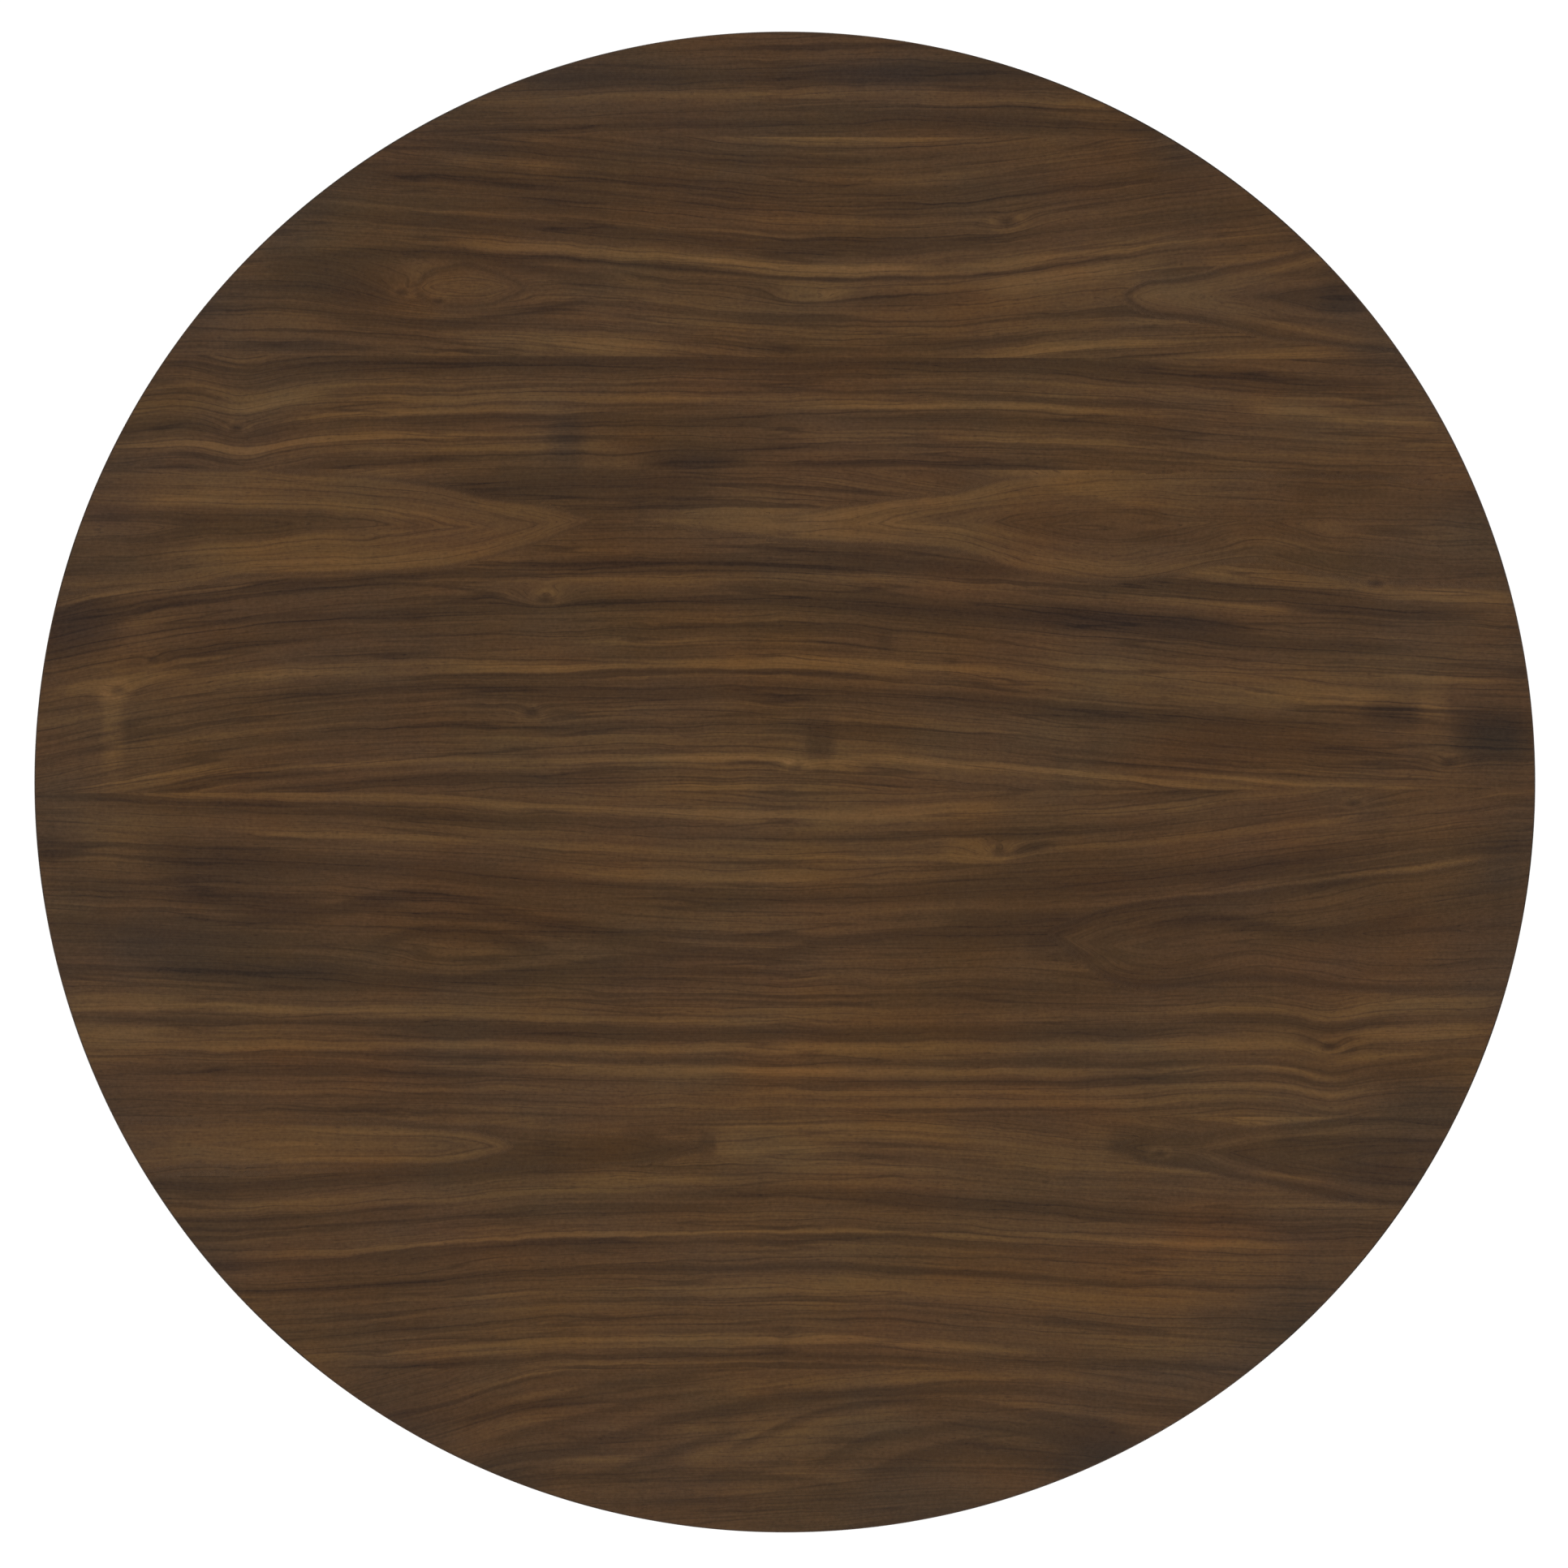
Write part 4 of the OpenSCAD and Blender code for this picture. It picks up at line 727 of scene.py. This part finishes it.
pore = put(tree, "ShaderNodeMapRange", {0: pores, 1: 0.60, 2: 0.70, 3: 0.0, 4: 1.0}).outputs[0]
total = add_scaled(tree, total, pore, -0.42, 0.0)
place = put(tree, "ShaderNodeMath", {0: total, 1: 0.4, 2: 0.48}, operation="MULTIPLY_ADD").outputs[0]
warm = put(tree, "ShaderNodeValToRGB", {0: place}, stops=[
    (0.0, "#291b11"), (0.20, "#392718"), (0.38, "#432f1c"), (0.5, "#4d3621"), (0.64, "#594025"),
    (0.80, "#674a2b"), (1.0, "#7b5937")]).outputs[0]
smoky = put(tree, "ShaderNodeValToRGB", {0: place}, stops=[
    (0.0, "#1f1a18"), (0.35, "#2f2721"), (0.6, "#42352a"), (1.0, "#614c38")]).outputs[0]
haze = put(tree, "ShaderNodeMath", {0: smoke, 1: 0.6}, operation="MULTIPLY", use_clamp=True).outputs[0]
colour = put(tree, "ShaderNodeMix", {0: haze, 6: warm, 7: smoky}, data_type="RGBA").outputs[2]
drift = put(tree, "ShaderNodeMapping", {"Vector": where, "Scale": (6.5, 16, 1)}).outputs[0]
stain = put(tree, "ShaderNodeTexNoise", {"Vector": drift, "Scale": 1.0, "Detail": 4.0,
                                         "Roughness": 0.6}).outputs
lean = put(tree, "ShaderNodeVectorMath", {0: stain[0], 1: (0.43, 0.0, -0.82), 2: (0.785, 0.9, 1.4)},
           operation="MULTIPLY_ADD").outputs[0]
lean = put(tree, "ShaderNodeVectorMath", {0: stain[1], 1: (0.0, 0.2, 0.0), 2: lean},
           operation="MULTIPLY_ADD").outputs[0]
leaning = put(tree, "ShaderNodeVectorMath", {0: colour, 1: lean}, operation="MULTIPLY").outputs[0]
depth = put(tree, "ShaderNodeMath", {0: pore, 1: -1.0, 2: total}, operation="MULTIPLY_ADD").outputs[0]
wire_up(tree, shader, leaning, mottle, (0.36, 0.44), depth, 0.25, 0.06)
shader.inputs["IOR"].default_value = 1.5
shader.inputs["Specular IOR Level"].default_value = 0.22
print(veneer.name, "nodes:", len(tree.nodes))

# %% [markdown]
# ## Laying the leaves
# A veneer man tapes the leaves edge to edge and presses the whole sheet down. Here each leaf is a piece of
# its own on its own CAD leaf, and its figure is worked out for every point of its grid and stored there. Each
# leaf also gets its own shift in the ring height, so that the fine lines don't run on across a seam.
# %% Lay the eight leaves
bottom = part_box("veneer_leaf_4")[0].z
for n in range(8):
    x, y = leaf_points(n, BOARD_R * 1000)
    mesh, border = closed_slab(f"walnut_leaf_{n + 1}", x / 1000, y / 1000, TOP_Z, TOP_Z - bottom)
    ring, shade, knot, lively = figure_of_leaf(n, x.ravel(), y.ravel())
    fields = {"ring": ring / 1000 + 0.7 * n, "shade": shade, "knot": knot, "lively": lively,
              "smoke": smoke_at(x.ravel(), y.ravel())}
    for name, values in fields.items():
        to_vertices(mesh, name, np.concatenate([values, values[border]]))
    leaf = into_scene(f"walnut_leaf_{n + 1}", mesh)
    welded = bmesh.new()
    welded.from_mesh(mesh)
    bmesh.ops.remove_doubles(welded, verts=welded.verts, dist=2e-6)
    welded.to_mesh(mesh)
    welded.free()
    mesh.materials.append(veneer)
    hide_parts(f"veneer_leaf_{n + 1}")
    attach(leaf, "tilting_top")
    print(leaf.name, "faces", len(mesh.polygons))

# %% [markdown]
# ## Solid walnut
# *American walnut, sawn solid, sanded and oiled.* Inside a board the growth rings are tubes about the heart
# of the tree, and a saw cut shows them as straight lines on a quartered face and as tongues on a flat one.
# The same thing happens here by itself: the material works out the distance from a heart that lies outside
# the piece, so each face cuts the rings as a saw would. Every piece carries its own grain directions, stored
# as three numbers per vertex: along the grain, across it, and through the thickness.
# %% The solid walnut material
def walnut_rings(name, stops, ring_mm, heart_mm, rough_range):
    """Rings by distance from the heart: sqrt((across-a)^2+(depth-d)^2), wavering slowly along the grain."""
    material, tree, shader = new_material(name)
    axes = put(tree, "ShaderNodeAttribute", attribute_name="grain").outputs["Vector"]
    slow = put(tree, "ShaderNodeMapping", {"Vector": axes, "Scale": (2.2, 9.0, 9.0)}).outputs[0]
    waver = put(tree, "ShaderNodeTexNoise", {"Vector": slow, "Scale": 1.0, "Detail": 3.0}).outputs["Color"]
    bent = put(tree, "ShaderNodeVectorMath", {0: waver, 1: (0.0, 0.030, 0.030), 2: axes},
               operation="MULTIPLY_ADD").outputs[0]
    placed = put(tree, "ShaderNodeMapping",
                 {"Vector": bent, "Location": (0, heart_mm[0] / 1000, heart_mm[1] / 1000)})
    split = put(tree, "ShaderNodeSeparateXYZ", {0: placed.outputs[0]}).outputs
    flat = put(tree, "ShaderNodeCombineXYZ", {0: 0.0, 1: split["Y"], 2: split["Z"]}).outputs[0]
    radius = put(tree, "ShaderNodeVectorMath", {0: flat}, operation="LENGTH").outputs["Value"]
    lie = put(tree, "ShaderNodeCombineXYZ", {0: split["X"], 1: radius, 2: split["Y"]}).outputs[0]
    wide = along_grain(tree, lie, (400, ring_mm * 2.2), 2.0)
    fine = along_grain(tree, lie, (160, ring_mm * 0.5), 3.0, 5.0)
    total = put(tree, "ShaderNodeMath", {0: wide, 1: 0.9, 2: -0.05}, operation="MULTIPLY_ADD").outputs[0]
    total = add_scaled(tree, total, fine, 0.8)
    stretch = put(tree, "ShaderNodeMapping", {"Vector": axes, "Scale": (110, 1500, 1500)}).outputs[0]
    pores = put(tree, "ShaderNodeTexNoise", {"Vector": stretch, "Scale": 1.0, "Detail": 1.0}).outputs[0]
    pore = put(tree, "ShaderNodeMapRange", {0: pores, 1: 0.60, 2: 0.72, 3: 0.0, 4: 1.0}).outputs[0]
    total = add_scaled(tree, total, pore, -0.22, 0.0)
    shade = put(tree, "ShaderNodeValToRGB", {0: total}, stops=stops)
    depth = put(tree, "ShaderNodeMath", {0: pore, 1: -1.0, 2: total}, operation="MULTIPLY_ADD").outputs[0]
    wire_up(tree, shader, shade.outputs[0], fine, rough_range, depth, 0.3, 0.1)
    print(name, "nodes:", len(tree.nodes))
    return material


OILED = [(0.18, "#2b1f17"), (0.38, "#3f2d1f"), (0.52, "#523a27"), (0.68, "#664a31"), (0.85, "#7a5a3c")]
turned = walnut_rings("American walnut, turned and oiled", OILED, 5.0, (14, 60), (0.36, 0.50))
sawn = walnut_rings("American walnut, sawn and oiled", OILED, 5.5, (70, 35), (0.40, 0.54))
banding = walnut_rings("American walnut edge band, ironed on and lacquered",
                       [(0.2, "#271c14"), (0.5, "#3d2b1d"), (0.8, "#543c28")], 4.0, (30, 20), (0.34, 0.44))
banding.node_tree.nodes["Principled BSDF"].inputs["Specular IOR Level"].default_value = 0.3

# %% [markdown]
# ## Sawn and turned parts with softened arrises
# A joiner never leaves a saw-sharp corner on a part that hands reach: a stroke of sandpaper takes it off. The
# CAD parts have plain corners, so a copy of each is welded, its flat faces are joined up, and its long sharp
# edges get a small round. The big faces keep their straight normals, so that the flats still read as flat.
# %% Copy a CAD part and soften its edges
def softened(node, arris_mm, material, body, along, across):
    """A welded copy of a CAD part, long sharp edges rounded by arris_mm, with its grain directions at each
    vertex: (p-c).along, (p-c).across and (p-c).(along x across), where c is the middle of its box."""
    shape = bmesh.new()
    shape.from_mesh(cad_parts[node].data)
    bmesh.ops.remove_doubles(shape, verts=shape.verts, dist=1e-6)
    bmesh.ops.dissolve_limit(shape, angle_limit=math.radians(0.6), verts=shape.verts, edges=shape.edges)
    sharp = [e for e in shape.edges if len(e.link_faces) == 2 and e.calc_length() > 0.0045
             and e.calc_face_angle(0) > math.radians(28)]
    if arris_mm:
        bmesh.ops.bevel(shape, geom=sharp, offset=arris_mm / 1000, segments=2, profile=0.5, affect="EDGES",
                        clamp_overlap=True)
    for face in shape.faces:
        face.smooth = True
    mesh = bpy.data.meshes.new(f"wooden_{node}")
    shape.to_mesh(mesh)
    shape.free()
    points = np.zeros(len(mesh.vertices) * 3, np.float32)
    mesh.vertices.foreach_get("co", points)
    points = points.reshape(-1, 3)
    low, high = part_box(node)
    away = points - (np.array(low) + np.array(high)) / 2
    axes = np.array([along, across, np.cross(along, across)], float)
    to_vertices(mesh, "grain", away @ axes.T + [0.37 * len(bpy.data.meshes), 0, 0], "FLOAT_VECTOR", "vector")
    mesh.materials.append(material)
    piece = into_scene(f"wooden_{node}", mesh)
    flats = piece.modifiers.new("flats", "WEIGHTED_NORMAL")
    flats.keep_sharp = True
    mesh.set_sharp_from_angle(angle=math.radians(38))
    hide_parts(node)
    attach(piece, body)
    print(piece.name, "faces", len(mesh.polygons), "edges rounded", len(sharp) if arris_mm else 0)

# %% [markdown]
# ### Column, block and bearers
# The column's grain stands up, the block's runs from bearer to bearer, and the bearers' runs along them. The
# column was turned, and sanded on the lathe, so it has no arris to soften.
# %% Column, block and bearers
softened("column", 0, turned, "pedestal", (0, 0, 1), (1, 0, 0))
softened("pivot_block", 1.2, sawn, "pedestal", (1, 0, 0), (0, 1, 0))
for side in ("left", "right"):
    softened(f"bearer_{side}", 1.2, sawn, "tilting_top", (0, 1, 0), (1, 0, 0))

# %% [markdown]
# ### Legs
# A leg is sawn so that the grain runs straight through its thin end, where it would otherwise snap: the line
# from root to toe falls by 24 degrees.
# %% Four legs, each with its grain from root to toe
for n in range(1, 5):
    q, fall = math.radians(45 + 90 * (n - 1)), math.radians(24)
    along = (math.cos(q) * math.cos(fall), math.sin(q) * math.cos(fall), -math.sin(fall))
    softened(f"leg_{n}", 1.5, sawn, "pedestal", along, (-math.sin(q), math.cos(q), 0))

# %% [markdown]
# ## Edge band
# The edge of the board is closed with a thin strip of the same wood, bent round it and ironed on. It has to
# be a surface of its own, because its grain runs *round* the top: a block of grain cut into a circle would
# show end grain at two places, which is just what an edge band is there to hide.
# %% Bend the edge band round the board
def swept_ring(name, profile, turns):
    """A closed profile of (radius, height) carried round the z axis: (r cos q, r sin q, z), for q in turns
    steps. The grain directions are (radius * angle, height, 0)."""
    r, z = np.array(profile).T
    q = np.linspace(0, 2 * np.pi, turns, endpoint=False)
    points = np.stack([r[None] * np.cos(q)[:, None], r[None] * np.sin(q)[:, None],
                       np.broadcast_to(z[None], (turns, len(r)))], -1).reshape(-1, 3)
    i, j = np.meshgrid(np.arange(turns), np.arange(len(r)), indexing="ij")
    ahead, up = (i + 1) % turns, (j + 1) % len(r)
    faces = np.stack([i * len(r) + j, ahead * len(r) + j, ahead * len(r) + up, i * len(r) + up], -1)
    mesh = bpy.data.meshes.new(name)
    mesh.from_pydata(points.tolist(), [], faces.reshape(-1, 4).tolist())
    round_trip = np.abs(np.mod(q + np.pi / 2, 2 * np.pi) - np.pi) * r.max()
    lie = np.stack([np.repeat(round_trip, len(r)), points[:, 2], np.hypot(points[:, 0], points[:, 1])], -1)
    to_vertices(mesh, "grain", lie, "FLOAT_VECTOR", "vector")
    mesh.polygons.foreach_set("use_smooth", np.ones(len(mesh.polygons), bool))
    return mesh


low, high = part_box("edge_band")
inner, outer, arris = BOARD_R, high.x, 0.0007
corner = np.linspace(0, np.pi / 2, 6)
upper = [(outer - arris + arris * math.sin(a), high.z - arris + arris * math.cos(a)) for a in corner]
lower = [(outer - arris + arris * math.cos(a), low.z + arris - arris * math.sin(a)) for a in corner]
sides = [(outer, high.z - arris - (high.z - low.z - 2 * arris) * t) for t in (0.25, 0.5, 0.75)]
profile = [(inner, low.z), (inner, high.z)] + upper + sides + lower
band = into_scene("walnut_edge_band", swept_ring("walnut_edge_band", profile[::-1], 512))
band.data.materials.append(banding)
band.data.set_sharp_from_angle(angle=math.radians(50))
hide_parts("edge_band")
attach(band, "tilting_top")
print("edge band faces", len(band.data.polygons), "box", [round(v, 4) for v in band.dimensions])

# %% [markdown]
# ## Small parts that keep their CAD shape
# The fittings are right as they are, so they stay, and only get finishes. Each finish reads Object
# coordinates, which are the table's own metres, so a pattern stays put while a part moves.
#
# *Balancing veneer, plain walnut, oiled thin.* The underside is covered too, or the board would cup. It is
# the cheaper wood: straight lines, less contrast, a dry look.
# %% Straight grain for the underside, the core and the wedge
def straight_grain(name, stops, size_mm, along_axis, rough, bump_mm):
    """Fine lines along one axis: noise stretched to size_mm = (along, across) on Object coordinates."""
    material, tree, shader = new_material(name)
    where = put(tree, "ShaderNodeTexCoord").outputs["Object"]
    scale = [1000 / size_mm[1]] * 3
    scale["xyz".index(along_axis)] = 1000 / size_mm[0]
    lie = put(tree, "ShaderNodeMapping", {"Vector": where, "Scale": scale}).outputs[0]
    lines = put(tree, "ShaderNodeTexNoise", {"Vector": lie, "Scale": 1.0, "Detail": 5.0, "Distortion": 0.4})
    wide = put(tree, "ShaderNodeMapping", {"Vector": where, "Scale": [s * 0.14 for s in scale]}).outputs[0]
    bands = put(tree, "ShaderNodeTexNoise", {"Vector": wide, "Scale": 1.0, "Detail": 2.0, "Distortion": 1.0})
    total = add_scaled(tree, lines.outputs[0], bands.outputs[0], 0.9)
    shade = put(tree, "ShaderNodeValToRGB", {0: total}, stops=stops)
    wire_up(tree, shader, shade.outputs[0], bands.outputs[0], (rough - 0.05, rough + 0.07), lines.outputs[0],
            0.3, bump_mm)
    print(name, "nodes:", len(tree.nodes))
    return material


backing = straight_grain("Walnut balancing veneer, sliced and oiled thin",
                         [(0.15, "#33261b"), (0.42, "#463324"), (0.6, "#56402d"), (0.85, "#6a5039")],
                         (260, 3.0), "x", 0.55, 0.12)
fibreboard = straight_grain("Medium density fibreboard, sanded",
                            [(0.2, "#84694a"), (0.5, "#9a7d5a"), (0.8, "#ac9069")], (2.5, 1.2), "x", 0.85,
                            0.1)
ash = straight_grain("Ash, split and planed",
                     [(0.2, "#8f7a58"), (0.5, "#bda67f"), (0.8, "#d2bf9b")], (60, 1.6), "z", 0.6, 0.1)

# %% [markdown]
# ### Metal, rubber and nylon
# Metals first get the colour of the metal, then what hands and time do to it. *Brass, cast and brushed* is
# yellow where it is rubbed and brown in the hollows. *Zinc-plated steel* is a cool grey with a faint, uneven
# bloom. *Steel, powder coated black* has the fine orange-peel skin of melted powder, about 1 mm from bump to
# bump.
# %% Metal, rubber and nylon
def worn_finish(name, stops, grain_mm, squeeze, metallic, rough_range, bump_mm, ior=None):
    """Noise of grain_mm, squeezed along one axis when the part is brushed, drives colour, gloss and bump."""
    material, tree, shader = new_material(name)
    where = put(tree, "ShaderNodeTexCoord").outputs["Object"]
    k = 1000 / grain_mm
    lie = put(tree, "ShaderNodeMapping", {"Vector": where, "Scale": (k, k, k * squeeze)}).outputs[0]
    grit = put(tree, "ShaderNodeTexNoise", {"Vector": lie, "Scale": 1.0, "Detail": 3.0}).outputs[0]
    stain = put(tree, "ShaderNodeTexNoise", {"Vector": where, "Scale": 55.0, "Detail": 4.0}).outputs[0]
    total = add_scaled(tree, stain, grit, 0.35)
    shade = put(tree, "ShaderNodeValToRGB", {0: total}, stops=stops)
    wire_up(tree, shader, shade.outputs[0], total, rough_range[::-1], grit, 0.35, bump_mm)
    shader.inputs["Metallic"].default_value = metallic
    if ior:
        shader.inputs["IOR"].default_value = ior
    print(name, "nodes:", len(tree.nodes))
    return material


brass = worn_finish("Brass, cast, brushed and aged", [(0.25, "#80694a"), (0.5, "#b39b6d"), (0.75, "#cbb788")],
                    0.8, 0.12, 1.0, (0.24, 0.46), 0.04)
zinc = worn_finish("Steel, zinc plated", [(0.25, "#7d8186"), (0.5, "#a4a8ac"), (0.75, "#bfc3c6")],
                   1.6, 1.0, 1.0, (0.28, 0.48), 0.03)
powder = worn_finish("Steel, powder coated black", [(0.25, "#121213"), (0.5, "#1b1b1d"), (0.75, "#26262a")],
                     1.1, 1.0, 0.0, (0.42, 0.60), 0.06, 1.5)
rubber = worn_finish("Rubber, moulded", [(0.25, "#141413"), (0.5, "#1d1c1b"), (0.75, "#2a2927")],
                     0.9, 1.0, 0.0, (0.66, 0.86), 0.05, 1.52)
nylon = worn_finish("Nylon, moulded black", [(0.25, "#171615"), (0.5, "#211f1d"), (0.75, "#302d2a")],
                    1.3, 1.0, 0.0, (0.40, 0.58), 0.04, 1.53)

# %% [markdown]
# ### Which part is of what
# Each part that keeps its CAD shape is listed under its finish, and a last count shows that none was
# forgotten.
# %% Give every remaining part its finish
KEPT = {
    backing: ["backing_veneer"], fibreboard: ["core_board"], ash: ["tenon_wedge"],
    brass: ["pivot_bush_left", "pivot_bush_right", "latch_plate", "latch_case", "latch_friction_spring",
            "latch_screws", "latch_bolt", "latch_knob", "pivot_washers", "strike_plate", "strike_screws",
            "leveller_inserts"],
    zinc: ["bearer_screws", "pivot_pin_left", "pivot_pin_right", "spider_screws"]
          + [f"leveller_stem_{n}" for n in range(1, 5)],
    powder: ["spider_plate"], rubber: ["bumpers"], nylon: [f"leveller_pad_{n}" for n in range(1, 5)],
}
for material, names in KEPT.items():
    for name in names:
        for material_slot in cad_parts[name].material_slots:
            material_slot.material = material
dressed = {name for names in KEPT.values() for name in names}
left = [n for n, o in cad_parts.items() if not o.hide_render and n not in dressed]
print("parts with a finish:", len(dressed), " left without:", left)

# %% [markdown]
# ## Measure and finish
# The table must not have grown while it was dressed, so its box is printed beside the CAD box.
# %% Write the sizes and finish
new_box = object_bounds()
for label, box in (("CAD box", cad_box), ("visual box", new_box)):
    print(label, [round(v, 4) for v in box[1] - box[0]])
